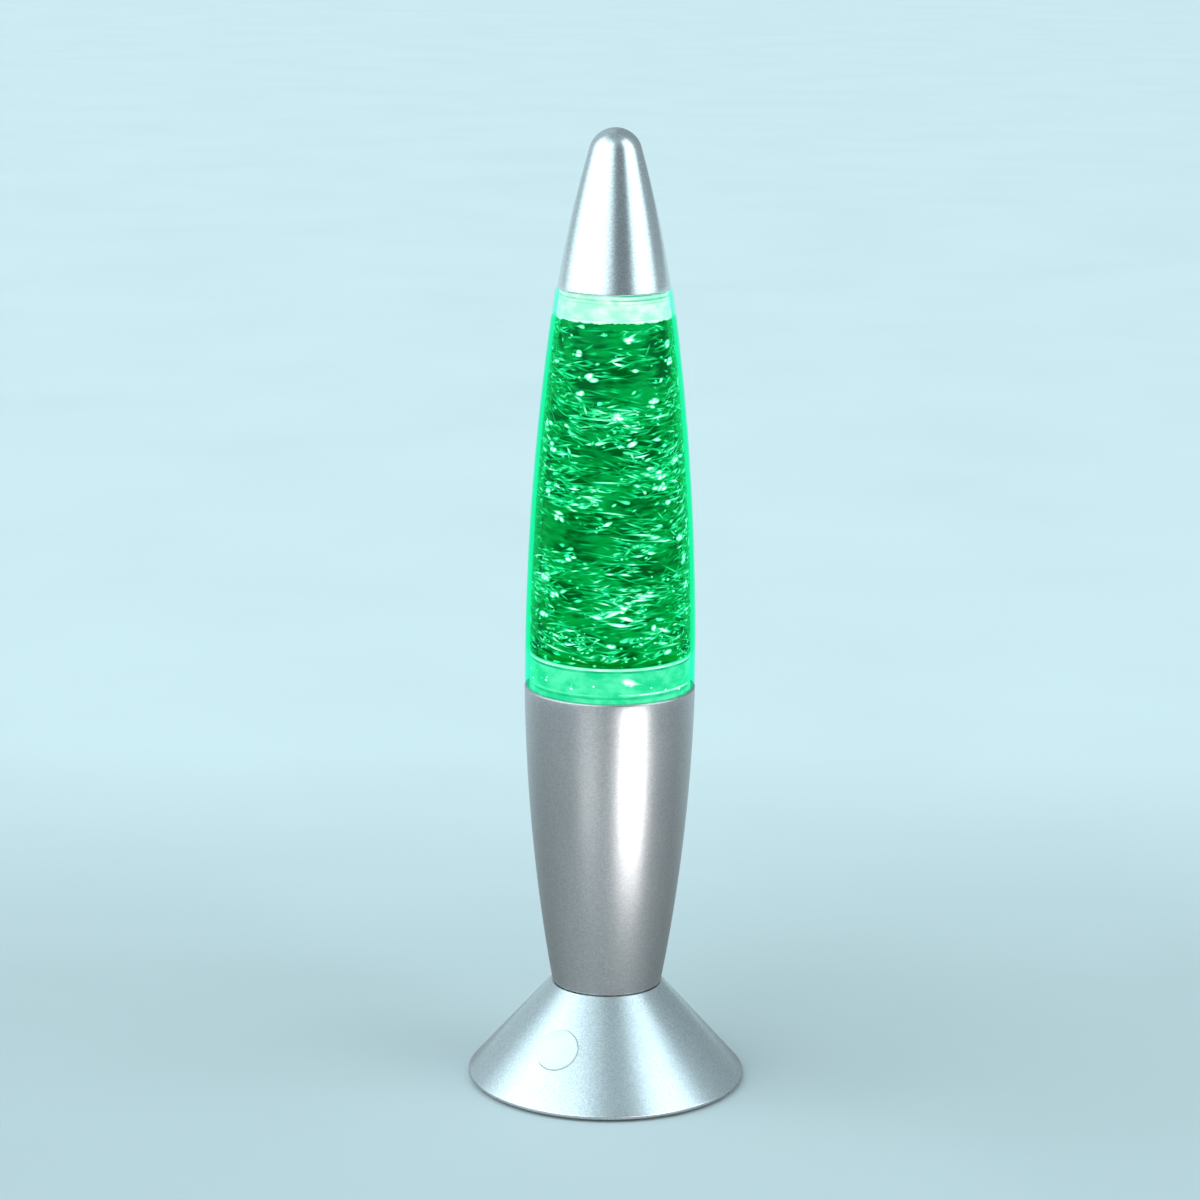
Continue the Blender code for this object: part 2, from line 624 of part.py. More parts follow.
def make_base_shell(frame, button_frame):
    """The cast cone with its spigot, three screw bosses and the button's guide tube."""
    inner_rim = BASE_RADIUS - RIM_WALL
    lip = BASE_LIP_Z + (BASE_RADIUS - CONE_WALL_ACROSS - inner_rim) / CONE_SLOPE
    shoulder = NECK_Z - CAST_WALL
    spigot_inner = SPIGOT_RADIUS - SPIGOT_WALL
    outline = [(inner_rim, BASE_RIM_Z), (BASE_RADIUS, BASE_RIM_Z), (BASE_RADIUS, BASE_LIP_Z)]
    outline += [(NECK_RADIUS, NECK_Z), (SPIGOT_RADIUS, NECK_Z), (SPIGOT_RADIUS, SPIGOT_TOP_Z)]
    outline += [(WIRE_HOLE_RADIUS, SPIGOT_TOP_Z), (WIRE_HOLE_RADIUS, SPIGOT_TOP_Z - CAST_WALL)]
    outline += [(spigot_inner, SPIGOT_TOP_Z - CAST_WALL), (spigot_inner, shoulder)]
    outline += [(cone_radius(shoulder) - CONE_WALL_ACROSS, shoulder), (inner_rim, lip)]
    shell = turned("base_shell", outline, "silver_shell", frame, BIG_ROUND)

    bosses = bmesh.new()
    for angle in TRIO_ANGLES:
        for point in add_rod(bosses, BOSS_RADIUS, *BOSS_Z, on_circle(PLATE_SCREW_CIRCLE, angle)):
            if point.co.z > sum(BOSS_Z) / 2 * MM:
                point.co.z = cone_height(math.hypot(point.co.x, point.co.y) / MM) * MM
    join(shell, bosses, "bosses")
    guide = bmesh.new()
    add_rod(guide, GUIDE_RADIUS[1], -GUIDE_DEPTH, -1.2, sides=24)
    join(shell, guide, "guide", button_frame)

    holes = bmesh.new()
    for angle in TRIO_ANGLES:
        add_rod(holes, 1.4, 6.0, 11.0, on_circle(PLATE_SCREW_CIRCLE, angle), TINY_ROUND)
        add_rod(holes, 1.5, 38.0, 42.0, on_circle(LEG_CIRCLE, angle), TINY_ROUND)
    cut(shell, holes, "screw_holes")
    opening = bmesh.new()
    add_rod(opening, BUTTON_HOLE_RADIUS, -4.0, 4.0, sides=24)
    cut(shell, opening, "button_hole", button_frame)
    bore = bmesh.new()
    add_rod(bore, GUIDE_RADIUS[0], -GUIDE_DEPTH - 1, -2.5, sides=24)
    cut(shell, bore, "guide_bore", button_frame)


def bay_block(mesh, inset, low, high):
    """Adds a box the size of the battery bay, grown by inset, between two heights."""
    x, y = BAY_HALF[0] + inset, BAY_HALF[1] + inset
    add_block(mesh, (-x, BAY_Y - y, low), (x, BAY_Y + y, high))


def make_base_plate(frame):
    """The floor of the base, with the battery bay, the door's latch post and three screw wells."""
    low, high = PLATE_Z
    outline = [(0, low), (PLATE_RADIUS[0], low), (PLATE_RADIUS[1], high), (0, high)]
    plate = turned("base_plate", outline, "black_plastic", frame, BIG_ROUND)

    bay = bmesh.new()
    bay_block(bay, BAY_WALL, high - 0.4, BAY_ROOF_Z[1])
    join(plate, bay, "bay")
    latch = bmesh.new()
    add_block(latch, (BAY_HALF[0] + 0.5, BAY_Y - 6.2, high - 0.6), (33.6, BAY_Y + 6.2, 10.0))
    join(plate, latch, "latch_post")
    wells = bmesh.new()
    for angle in TRIO_ANGLES:
        add_rod(wells, WELL_RADIUS, high - 0.5, BOSS_Z[0] - GAP, on_circle(PLATE_SCREW_CIRCLE, angle))
    join(plate, wells, "wells")

    room = bmesh.new()
    bay_block(room, 0, 0, BAY_ROOF_Z[0])
    cut(plate, room, "bay_room")
    recess = bmesh.new()
    add_block(recess, (BAY_HALF[0] - 0.7, BAY_Y - 4.6, 0), (32.4, BAY_Y + 4.6, 5.1))
    cut(plate, recess, "lug_recess")
    slots = bmesh.new()
    for side in (-1, 1):
        middle = BAY_Y + side * HOOK_OFFSET
        add_block(slots, (-29.5, middle - 1.4, 3.7), (-25.0, middle + 1.4, 7.6))
    for x, y in (terminal_place(1), terminal_place(-1)):
        add_block(slots, (x - 0.7, y - 1.8, 13.0), (x + 0.7, y + 1.8, 17.0))
    cut(plate, slots, "slots")
    holes = bmesh.new()
    for angle in TRIO_ANGLES:
        well = [(0, 0), (3.1, 0), (3.1, 4.2), (1.6, 4.2), (1.6, 8.0), (0, 8.0)]
        spin_outline(holes, well, SMALL_ROUND, on_circle(PLATE_SCREW_CIRCLE, angle))
    cut(plate, holes, "screw_holes")
    pilot = bmesh.new()
    add_rod(pilot, 1.6, 4.5, 9.0, (DOOR_LUG_X, BAY_Y), TINY_ROUND)
    cut(plate, pilot, "latch_hole")
    for number, angle in enumerate(TRIO_ANGLES, 1):
        place = on_circle(PLATE_SCREW_CIRCLE, angle)
        screw(f"base_plate_screw_{number}", place, frame, (2.6, 2.4, 3.9), (1.1, 10.5))


def make_feet(frame):
    for number, angle in enumerate(FOOT_ANGLES, 1):
        x, y = on_circle(FOOT_CIRCLE, angle)
        outline = [(0, 0), (FOOT_RADIUS - 0.3, 0), (FOOT_RADIUS, 0.3), (FOOT_RADIUS, FOOT_HEIGHT)]
        turned(f"foot_{number}", outline + [(0, FOOT_HEIGHT)], "black_rubber", frame, at=(x, y, 0))


def cell_y(number):
    """Y of battery cell 1, 2 or 3."""
    return BAY_Y + (number - 2) * CELL_PITCH


def terminal_place(side):
    """Where the pack's end terminal comes up through the bay's roof: side 1 is positive, -1 negative."""
    return side * sum(CONTACT_X) / 2, cell_y(2 - side)


def lying_frame(name, side, y):
    """A frame with its +Z along X towards side, its origin on a cell's axis in the middle of the bay."""
    turn = Matrix.Rotation(math.radians(90 * side), 4, "Y")
    return add_frame(name, Matrix.Translation(Vector((0, y, CELL_Z)) * MM) @ turn)


def make_cells():
    """Three AAA cells side by side, each turned the other way round from its neighbour."""
    end = CONTACT_X[0] - GAP
    body = end - 0.9
    tail = end - CELL_LENGTH
    for number in (1, 2, 3):
        side = 1 if number != 2 else -1
        frame = lying_frame(f"cell_frame_{number}", side, cell_y(number))
        outline = [(0, tail), (4.6, tail), (CELL_RADIUS, tail + 0.5), (CELL_RADIUS, body - 0.5)]
        outline += [(4.6, body), (1.9, body), (1.9, end), (0, end)]
        turned(f"battery_{number}", outline, "cell_wrap", frame, 20)


def contact(name, side, cells, frame, tab=False):
    """A sheet contact on one end wall of the bay, facing the given cells. It has a spring for each flat cell end."""
    inner, outer = CONTACT_X
    near, far = sorted((side * inner, side * outer))
    low, high = CONTACT_Z
    mesh = bmesh.new()
    add_block(mesh, (near, cell_y(cells[0]) - 3.5, low), (far, cell_y(cells[0]) + 3.5, high))
    piece = add_piece(name, mesh, "steel", frame)
    extra = bmesh.new()
    for cell in cells[1:]:
        add_block(extra, (near, cell_y(cell) - 3.5, low), (far, cell_y(cell) + 3.5, high))
    if extra.verts:
        strap = bmesh.new()
        add_block(strap, (near, cell_y(cells[0]), 10.5), (far, cell_y(cells[1]), high - 0.2))
        join(piece, extra, "second_pad")
        join(piece, strap, "strap")
    if tab:
        x, y = terminal_place(side)
        ear = bmesh.new()
        add_block(ear, (x - 0.15, y - 1.2, high - 0.5), (x + 0.15, y + 1.2, 16.8))
        join(piece, ear, "tab")
    for cell in cells:
        faces_plus = (cell != 2) == (side > 0)
        if not faces_plus:
            coil = bmesh.new()
            top = inner - 0.7
            foot = CELL_LENGTH - inner + 2 * GAP
            line = [Vector((3.2, 0, inner + 0.2))] + coil_line(3.2, 2.2, top, foot + 0.3, 2.5)
            add_tube(coil, line, SPRING_WIRE)
            join(piece, coil, f"spring_{cell}", lying_frame(f"{name}_spring_frame_{cell}", side, cell_y(cell)))


def make_contacts(frame):
    contact("contact_positive", 1, (1,), frame, tab=True)
    contact("contact_bridge_right", 1, (2, 3), frame)
    contact("contact_bridge_left", -1, (1, 2), frame)
    contact("contact_negative", -1, (3,), frame, tab=True)


def make_door(frame):
    """The battery door hooks in at -X and is held by one screw through a lug at +X."""
    low, high = DOOR_Z
    x, y = BAY_HALF[0] - GAP, BAY_HALF[1] - GAP
    mesh = bmesh.new()
    add_block(mesh, (-x, BAY_Y - y, low), (x, BAY_Y + y, high))
    origin = frame.matrix_world.translation / MM
    bmesh.ops.translate(mesh, verts=mesh.verts, vec=-origin * MM)
    door = add_piece("battery_door", mesh, "black_plastic", frame)
    root = frame.parent
    risers, tongues = bmesh.new(), bmesh.new()
    for side in (-1, 1):
        middle = BAY_Y + side * HOOK_OFFSET
        add_block(risers, (-24.9, middle - 1, high - 0.5), (-23.6, middle + 1, 5.1))
        add_block(tongues, (-28.0, middle - 1, 3.9), (-24.2, middle + 1, 5.1))
    join(door, risers, "hook_risers", root)
    join(door, tongues, "hook_tongues", root)
    lug = bmesh.new()
    add_block(lug, (x - 1.0, BAY_Y - 4.2, low), (32.0, BAY_Y + 4.2, 4.8))
    join(door, lug, "lug", root)
    well = bmesh.new()
    outline = [(0, 0.5), (3.0, 0.5), (3.0, 3.4), (1.6, 3.4), (1.6, 6.0), (0, 6.0)]
    spin_outline(well, outline, SMALL_ROUND, (DOOR_LUG_X, BAY_Y))
    cut(door, well, "screw_well", root)
    place = (DOOR_LUG_X - origin.x, BAY_Y - origin.y)
    latch = screw("battery_door_screw", place, frame, (2.5, 2.0, 3.1), (1.1, 7.6))
    latch.location.z = -origin.z * MM


def make_button(frame, moving_frame):
    """A domed push button over a small push switch, with a return spring round the switch."""
    rim = [(0, -3.5), (8.2, -3.5), (8.2, -2.8), (BUTTON_RADIUS, -2.8), (BUTTON_RADIUS, 0.3)]
    dome = [(BUTTON_RADIUS * math.cos(turn), 0.3 + 0.7 * math.sin(turn)) for turn in steps_between(0.3, 1.3, 3)]
    turned("button", rim + dome + [(0, 1.0)], "button_white", moving_frame, 24)
    turned("switch_plunger", ring(0, 1.6, -6.2, -3.8), "black_plastic", moving_frame, TINY_ROUND)
    body = block("switch_body", (-3.5, -3.5, -8.0), (3.5, 3.5, -5.2), "steel", frame)
    pocket = bmesh.new()
    add_rod(pocket, 1.9, -7.7, -5.0, sides=TINY_ROUND)
    cut(body, pocket, "plunger_pocket")
    turned("switch_board", ring(0, 8.2, -9.3, -8.3), "circuit_board", frame, 24)
    coil = bmesh.new()
    add_tube(coil, coil_line(6.4, 6.4, -7.6, -4.2, 3, 12), SPRING_WIRE)
    add_piece("button_spring", coil, "steel", frame)


def make_wiring(frame):
    """Wires clipped inside, from the cells and the switch up to the board, and on to the motor and the LEDs."""
    x, y = terminal_place(1)
    up = [(2.4, 0.6, 33.0), (2.2, 0.4, 42.0), (3.4, -0.6, 51.0), (4.5, -2.9, 59.5)]
    wire("battery_lead_red", [(x, y, 17.8), (20.5, -6.0, 20.5), (10.0, -2.0, 25.0), *up], "red_wire", frame)
    x, y = terminal_place(-1)
    up = [(-2.0, 1.6, 33.0), (-1.6, 1.4, 42.0), (-1.2, 0.2, 51.0), (0.6, -2.9, 59.5)]
    wire("battery_lead_black", [(x, y, 17.8), (-20.5, 10.0, 20.5), (-10.0, 4.0, 25.0), *up], "black_wire", frame)
    start = [(-11.6, -20.4, 8.6), (-8.6, -17.6, 12.0), (-7.6, -15.6, 18.0), (-4.0, -8.0, 26.0)]
    up = [(-0.4, -2.6, 34.0), (0.0, -2.2, 42.0), (-1.6, -2.2, 51.0), (-4.0, -2.9, 59.5)]
    wire("switch_lead", start + up, "black_wire", frame)
    route = [(-6.0, -2.9, 90.5), (-6.5, -1.5, 95.0), (-6.5, 0.0, 99.0), (-6.0, 0.0, 103.2)]
    wire("motor_lead", route, "red_wire", frame)
    x, y = LED_WIRE_HOLE
    route = [(3.0, -2.9, 90.5), (3.2, -5.0, 95.0), (5.5, -11.5, 102.0), (14.0, -14.3, 111.0), (x, y, 117.5)]
    route.append((x, y, 124.5))
    wire("led_lead", route, "black_wire", frame)


def main():
    clear_scene()
    lamp = add_frame("lamp")
    bottle = add_frame("bottle_frame")
    cap = add_frame("cap_frame")
    impeller = add_frame("impeller_frame")
    rotor = add_frame("rotor_frame")
    for frame, parent in ((bottle, lamp), (cap, bottle), (impeller, bottle), (rotor, lamp)):
        frame.parent = parent

    slant = math.atan2(1.0, CONE_SLOPE)  # how far the cone's face leans back from level
    x, y = on_circle(cone_radius(BUTTON_Z), BUTTON_ANGLE)
    facing = Matrix.Rotation(math.radians(BUTTON_ANGLE), 4, "Z") @ Matrix.Rotation(slant, 4, "Y")
    face = add_frame("button_frame", Matrix.Translation(Vector((x, y, BUTTON_Z)) * MM) @ facing)
    press = add_frame("button_press_frame", face.matrix_world)

    hinge = add_frame("door_hinge_frame", Matrix.Translation(Vector((-25.35, BAY_Y, DOOR_Z[0])) * MM))
    hinge.parent = lamp
    bpy.context.view_layer.update()

    make_cap(cap)
    make_bottle(bottle)
    make_liquid(bottle)
    make_impeller(bottle, impeller)
    make_rotor(rotor)
    make_motor(lamp)
    make_chassis(lamp)
    make_lights(lamp)
    make_control_board(lamp)
    make_sleeve(lamp)
    make_base_shell(lamp, face)
    make_base_plate(lamp)
    make_feet(lamp)
    make_cells()
    make_contacts(lamp)
    make_door(hinge)
    make_button(face, press)
    make_wiring(lamp)
    bpy.context.view_layer.update()


main()
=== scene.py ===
"""Looks of the glitter lamp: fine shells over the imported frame, the lit bottle and the finishes.

Everything is in metres in the frame's own coordinates: +Z up, the lamp's axis on Z, the front towards -Y.
"""

import json
import math
import random

import bmesh
import bpy
from mathutils import Matrix, Vector, noise


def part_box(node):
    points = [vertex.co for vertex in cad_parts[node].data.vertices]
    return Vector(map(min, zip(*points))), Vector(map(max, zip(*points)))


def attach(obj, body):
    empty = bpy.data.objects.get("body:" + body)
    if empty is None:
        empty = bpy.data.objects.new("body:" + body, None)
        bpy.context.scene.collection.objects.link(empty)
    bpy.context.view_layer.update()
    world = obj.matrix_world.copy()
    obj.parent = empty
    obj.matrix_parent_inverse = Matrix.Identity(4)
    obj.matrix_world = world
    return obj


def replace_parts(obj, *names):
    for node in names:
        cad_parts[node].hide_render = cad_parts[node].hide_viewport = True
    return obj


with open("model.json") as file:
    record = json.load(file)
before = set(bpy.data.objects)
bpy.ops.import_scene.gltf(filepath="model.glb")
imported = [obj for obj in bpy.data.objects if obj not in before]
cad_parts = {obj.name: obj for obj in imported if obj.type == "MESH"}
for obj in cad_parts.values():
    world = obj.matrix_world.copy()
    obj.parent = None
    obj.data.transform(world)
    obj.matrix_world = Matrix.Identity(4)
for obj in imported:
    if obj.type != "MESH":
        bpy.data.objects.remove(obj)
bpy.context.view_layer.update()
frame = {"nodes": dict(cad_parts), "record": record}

MM = 0.001
SIDES = 160  # round pieces that show at rest
INNER_SIDES = 96  # round pieces that show when the lamp is apart
SMOOTH_ANGLE = math.radians(32)

# The two tall profiles: (largest radius, height where it is reached, radius of the arc)
SLEEVE_ARC = (29.2 * MM, 150.0 * MM, 648.0 * MM)
BOTTLE_ARC = (29.05 * MM, 146.0 * MM, 912.0 * MM)
CAST_WALL = 1.6 * MM
BOTTLE_WALL = 1.5 * MM
PLUG_WALL = 2.0 * MM
BORE_GAP = 0.1 * MM  # between the bottle's bore and what fills it
SEAM = 0.02 * MM  # between the lengths of the bottle's wall

# The nose cap, as in the frame: a side arc into a round nose
CAP_WALL = 1.3 * MM
NOSE_RADIUS = 9.0 * MM
NOSE_START = math.radians(16.2)
CAP_SIDE_RISE = 0.75 * MM

# The base: a cone from its lip to its neck, and a spigot above the neck
CONE_LIP = 1.2 * MM
NECK_Z = 34.7 * MM
NECK_RADIUS = 19.4 * MM
SPIGOT_RADIUS = 17.4 * MM

# The button's own frame on the cone's face
BUTTON_ANGLE = math.radians(240)
BUTTON_Z = 18.8 * MM
BUTTON_HOLE = 7.58 * MM
BUTTON_RADIUS = 7.4 * MM
BUTTON_DOME = 1.0 * MM
GUIDE_RADIUS = 9.7 * MM  # the tube behind the cone's face that the button slides in
GUIDE_BORE = 8.5 * MM

# The three screws that hold the sleeve on the spigot, and the three bosses for the base plate's screws
TRIO_ANGLES = (90, 210, 330)
SCREW_CIRCLE = 13.5 * MM
SCREW_HOLE = 1.5 * MM
BOSS_CIRCLE = 36 * MM
CENTRE_HOLE = 4.2 * MM  # for the wires, through the sleeve's web and the spigot's top

# The rotor under the bottle
SHAFT_BORE = 1.3 * MM
MAGNET_POCKET = 3.1 * MM
MAGNET_PLACE = 5.4 * MM  # from the axis

# Camera, matched to the lamp's outline
CAMERA_PLACE = (-3.65 * MM, -1143.0 * MM, 432.9 * MM)
CAMERA_PITCH = math.radians(12.95)
CAMERA_ROLL = math.radians(0.59)
CAMERA_LENS = 103.5

FLOOR_RADIUS = 30.0
ROOM_LIGHT = 0.46
# painted shade: the floor that the camera sees is darker in front of the lamp, paling to FLOOR_FAR behind it
FLOOR_NEAR = (0.7, 0.76, 0.765)
FLOOR_FAR = (0.9, 0.97, 0.96)
MIRRORED_SHADE = (0.39, 0.37, 0.36)  # painted shade: the darker floor that the silver mirrors in place of the pale one
# painted pool of light on that mirrored floor, before the lamp
MIRRORED_LIGHT_POOL = (0.66, 0.63, 0.615)

GLITTER_SEED = 41
SLIVER_COUNT = 4900
DOT_COUNT = 480
SPARK_COUNT = 66
PLUG_FLAKE_COUNT = 26
GOLDEN_ANGLE = math.radians(137.508)  # spreads the sparks evenly round the bottle
GLITTER_DEPTH = 7.0 * MM  # how far in from the wall the separate pieces lie
GLITTER_GAP = 0.35 * MM  # the least that a sliver keeps from the wall
CLOUD_SHARE = 0.77  # of the liquid's radius
WALL_LIGHT = 20.0  # painted glow, per metre of the wall that is looked through
WALL_STAIN = 300.0  # how much the wall absorbs, per metre
LIQUID_STAIN = 800.0
LIQUID_IOR = 1.17  # under water's 1.33, so the glitter is magnified less


# ---------------------------------------------------------------- node trees


def new_material(name, **values):
    """A material with a node tree. values set the Principled node's sockets, with _ for each space."""
    material = bpy.data.materials.new(name)
    material.use_nodes = True
    tree = material.node_tree
    shader = tree.nodes["Principled BSDF"]
    for socket, value in values.items():
        set_input(tree, shader.inputs[socket.replace("_", " ")], value)
    return material, tree, shader


def set_input(tree, socket, value):
    """Links an output to the socket, or sets the socket's own value."""
    if isinstance(value, bpy.types.NodeSocket):
        tree.links.new(value, socket)
    elif socket.type == "RGBA" and len(value) == 3:
        socket.default_value = (*value, 1)
    else:
        socket.default_value = value


def node(tree, kind, inputs=(), **settings):
    """A shader node. inputs pairs a socket's name or number with a value or another node's output."""
    made = tree.nodes.new("ShaderNode" + kind)
    for key, value in settings.items():
        setattr(made, key, value)
    for key, value in dict(inputs).items():
        set_input(tree, made.inputs[key], value)
    return made


def position(tree, stretch=(1, 1, 1)):
    """The surface's own coordinates in metres, scaled by stretch."""
    source = node(tree, "TexCoord").outputs["Object"]
    mapping = node(tree, "Mapping", {"Vector": source, "Scale": stretch})
    return mapping.outputs["Vector"]


def noise_value(tree, scale, detail=2.0, stretch=(1, 1, 1), roughness=0.5):
    """A noise from 0 to 1, with scale in waves per metre."""
    inputs = {"Vector": position(tree, stretch), "Scale": scale, "Detail": detail, "Roughness": roughness}
    return node(tree, "TexNoise", inputs).outputs["Fac"]


def cell_value(tree, scale, stretch=(1, 1, 1)):
    """A random value from 0 to 1 for each small cell."""
    cells = node(tree, "TexVoronoi", {"Vector": position(tree, stretch), "Scale": scale})
    return node(tree, "SeparateColor", {"Color": cells.outputs["Color"]}).outputs["Red"]


def remap(tree, value, source, target):
    """value, taken from the source range to the target range and held inside it."""
    inputs = {"Value": value, 1: source[0], 2: source[1], 3: target[0], 4: target[1]}
    return node(tree, "MapRange", inputs).outputs["Result"]


def maths(tree, operation, *values):
    return node(tree, "Math", dict(enumerate(values)), operation=operation).outputs["Value"]


def blend_colour(tree, factor, first, second, kind="MIX"):
    made = node(tree, "Mix", data_type="RGBA", blend_type=kind)
    set_input(tree, made.inputs["Factor"], factor)
    set_input(tree, made.inputs[6], first)
    set_input(tree, made.inputs[7], second)
    return made.outputs[2]


def scaled_colour(tree, colour, factor):
    """colour times a value."""
    grey = node(tree, "CombineColor", {"Red": factor, "Green": factor, "Blue": factor}).outputs["Color"]
    return blend_colour(tree, 1.0, colour, grey, "MULTIPLY")


def bump(tree, shader, height, depth, strength=1.0):
    """Makes height a bump of that depth in metres."""
    made = node(tree, "Bump", {"Height": height, "Distance": depth, "Strength": strength})
    tree.links.new(made.outputs["Normal"], shader.inputs["Normal"])


def coordinate(tree, axis):
    """The surface's own X, Y or Z in metres."""
    return node(tree, "SeparateXYZ", {"Vector": position(tree)}).outputs[axis]


# ---------------------------------------------------------------- finishes


def silver_paint(name, shade, roughness, wear=()):
    """Satin silver paint: fine metal flake, faint orange peel, and brighter edges where it is rubbed thin.

    wear lists (height, reach) for the edges that are handled.
    """
    material, tree, shader = new_material(name, Metallic=0.95)
    flake = remap(tree, cell_value(tree, 2600), (0, 1), (0.88, 1.12))
    cloud = remap(tree, noise_value(tree, 30, 3), (0.3, 0.7), (0.985, 1.015))
    colour = scaled_colour(tree, shade, maths(tree, "MULTIPLY", flake, cloud))
    speck = remap(tree, noise_value(tree, 1300, 1), (0.76, 0.82), (0, 0.3))
    colour = blend_colour(tree, speck, colour, (0.95, 0.98, 1.0))
    rough = remap(tree, noise_value(tree, 45, 4), (0.3, 0.7), (roughness - 0.015, roughness + 0.02))
    for height, reach in wear:
        gap = maths(tree, "ABSOLUTE", maths(tree, "SUBTRACT", coordinate(tree, "Z"), height))
        rub = maths(tree, "MULTIPLY", remap(tree, gap, (0, reach), (1, 0)), noise_value(tree, 260, 4))
        rub = remap(tree, rub, (0.35, 0.7), (0, 0.7))
        colour = blend_colour(tree, rub, colour, (0.9, 0.92, 0.92))
        rough = maths(tree, "SUBTRACT", rough, maths(tree, "MULTIPLY", rub, 0.12))
    set_input(tree, shader.inputs["Base Color"], colour)
    set_input(tree, shader.inputs["Roughness"], rough)
    peel = maths(tree, "MULTIPLY", noise_value(tree, 420, 2), 0.5)
    bump(tree, shader, maths(tree, "ADD", noise_value(tree, 1900, 2), peel), 0.006 * MM, 0.35)
    return material


def facing_gloss(tree, most):
    """How much a clear surface mirrors: nothing when seen face on, most at a grazing angle."""
    facing = node(tree, "LayerWeight", {"Blend": 0.5}).outputs["Facing"]
    return maths(tree, "MULTIPLY", maths(tree, "POWER", facing, 9.0), most)


def wall_plastic(name, stain, glow):
    """The bottle's clear wall: a glossy skin over plastic, with a painted glow in the plastic for the lamp's
    light carried along it.
    """
    material, tree, shader = new_material(name, Base_Color=(1, 1, 1), Metallic=1.0, Roughness=0.05)
    output = tree.nodes["Material Output"]
    clear = node(tree, "BsdfTransparent").outputs[0]
    mixed = node(tree, "MixShader", {0: facing_gloss(tree, 0.06), 1: clear, 2: shader.outputs[0]})
    tree.links.new(mixed.outputs[0], output.inputs["Surface"])
    absorb = node(tree, "VolumeAbsorption", {"Color": stain, "Density": WALL_STAIN})
    # painted light: the wall's own glow stands in for the lamp's light carried along the plastic
    light = node(tree, "Emission", {"Color": glow, "Strength": WALL_LIGHT})
    both = node(tree, "AddShader", {0: absorb.outputs[0], 1: light.outputs[0]})
    tree.links.new(both.outputs[0], output.inputs["Volume"])
    material.cycles.emission_sampling = "NONE"
    return material


def green_water():
    """The dyed liquid: clear, so it bends what is behind it, and greener the deeper it is."""
    material, tree, _ = new_material(
        "green_liquid",
        Base_Color=(1, 1, 1),
        Roughness=0.0,
        IOR=LIQUID_IOR,
        Transmission_Weight=1.0,
        Specular_IOR_Level=0.0,
    )
    output = tree.nodes["Material Output"]
    absorb = node(tree, "VolumeAbsorption", {"Color": (0.45, 0.965, 0.88), "Density": LIQUID_STAIN})
    tree.links.new(absorb.outputs[0], output.inputs["Volume"])
    return material


def lit_material(name, base, roughness, gloss=0.0):
    """A material whose look is its own light, and which isn't sampled as a lamp."""
    material, tree, shader = new_material(
        name, Base_Color=base, Roughness=roughness, Emission_Strength=1.0, Specular_IOR_Level=gloss
    )
    material.cycles.emission_sampling = "NONE"
    return material, tree, shader


def glitter_cloud():
    """The mass of glitter deep in the liquid: soft lit streaks over dark gaps, fuller near the surface."""
    material, tree, shader = lit_material("deep_glitter", (0, 0, 0), 0.8)
    patches = noise_value(tree, 62, 2, (1, 1, 1.7))
    streaks = noise_value(tree, 120, 4, (1, 1, 4.5), 0.62)
    total = maths(tree, "ADD", maths(tree, "MULTIPLY", patches, 0.9), maths(tree, "MULTIPLY", streaks, 0.9))
    surface = extent("liquid")[2]
    near_surface = remap(tree, coordinate(tree, "Z"), (surface - 9 * MM, surface - 1 * MM), (0, 0.14))
    level = remap(tree, maths(tree, "ADD", total, near_surface), (0.8, 1.02), (0, 1))
    colour = blend_colour(tree, level, (0.0, 0.085, 0.003), (0.0, 0.42, 0.09))
    wisp = remap(tree, noise_value(tree, 210, 3, (1, 1, 5.0), 0.6), (0.6, 0.72), (0, 1))
    wisp = maths(tree, "MULTIPLY", wisp, level)
    colour = blend_colour(tree, wisp, colour, (0.0, 0.72, 0.32))
    set_input(tree, shader.inputs["Emission Color"], colour)
    return material


def glitter_glow():
    """Metal glitter lit from below. Each piece's brightness is in its glow attribute."""
    material, tree, shader = lit_material("glitter_foil", (0.0, 0.01, 0.005), 0.5)
    glow = node(tree, "Attribute", attribute_name="glow").outputs["Color"]
    sheen = remap(tree, noise_value(tree, 900, 2, (1, 1, 3)), (0.3, 0.7), (0.88, 1.12))
    set_input(tree, shader.inputs["Emission Color"], scaled_colour(tree, glow, sheen))
    return material


def lit_plastic(name, glow_dark, glow_light, scale, stretch, lines, line_colour):
    """Clear plastic full of light, shown as a soft glow with faint clouds and flow lines.

    lines lists (height, half width, strength) for the darker rings: moulded edges, and on the top plug a
    painted shadow under the cap.
    """
    material, tree, shader = lit_material(name, (0.0, 0.01, 0.005), 0.25, gloss=0.1)
    cloud = noise_value(tree, scale, 3, stretch)
    flow = noise_value(tree, scale * 1.6, 2, (0.2, 0.2, 3))
    both = maths(tree, "ADD", maths(tree, "MULTIPLY", cloud, 0.85), maths(tree, "MULTIPLY", flow, 0.15))
    colour = blend_colour(tree, remap(tree, both, (0.4, 0.62), (0, 1)), glow_dark, glow_light)
    waver = maths(tree, "MULTIPLY", maths(tree, "SUBTRACT", noise_value(tree, 45, 2), 0.5), 0.7 * MM)
    height = maths(tree, "ADD", coordinate(tree, "Z"), waver)
    for line, half, strength in lines:
        gap = maths(tree, "ABSOLUTE", maths(tree, "SUBTRACT", height, line))
        here = remap(tree, gap, (half * 0.4, half), (strength, 0))
        broken = remap(tree, noise_value(tree, 120, 2, (1, 1, 0.2)), (0.35, 0.6), (0.35, 1))
        colour = blend_colour(tree, maths(tree, "MULTIPLY", here, broken), colour, line_colour)
    set_input(tree, shader.inputs["Emission Color"], colour)
    bump(tree, shader, both, 0.2 * MM, 0.3)
    return material


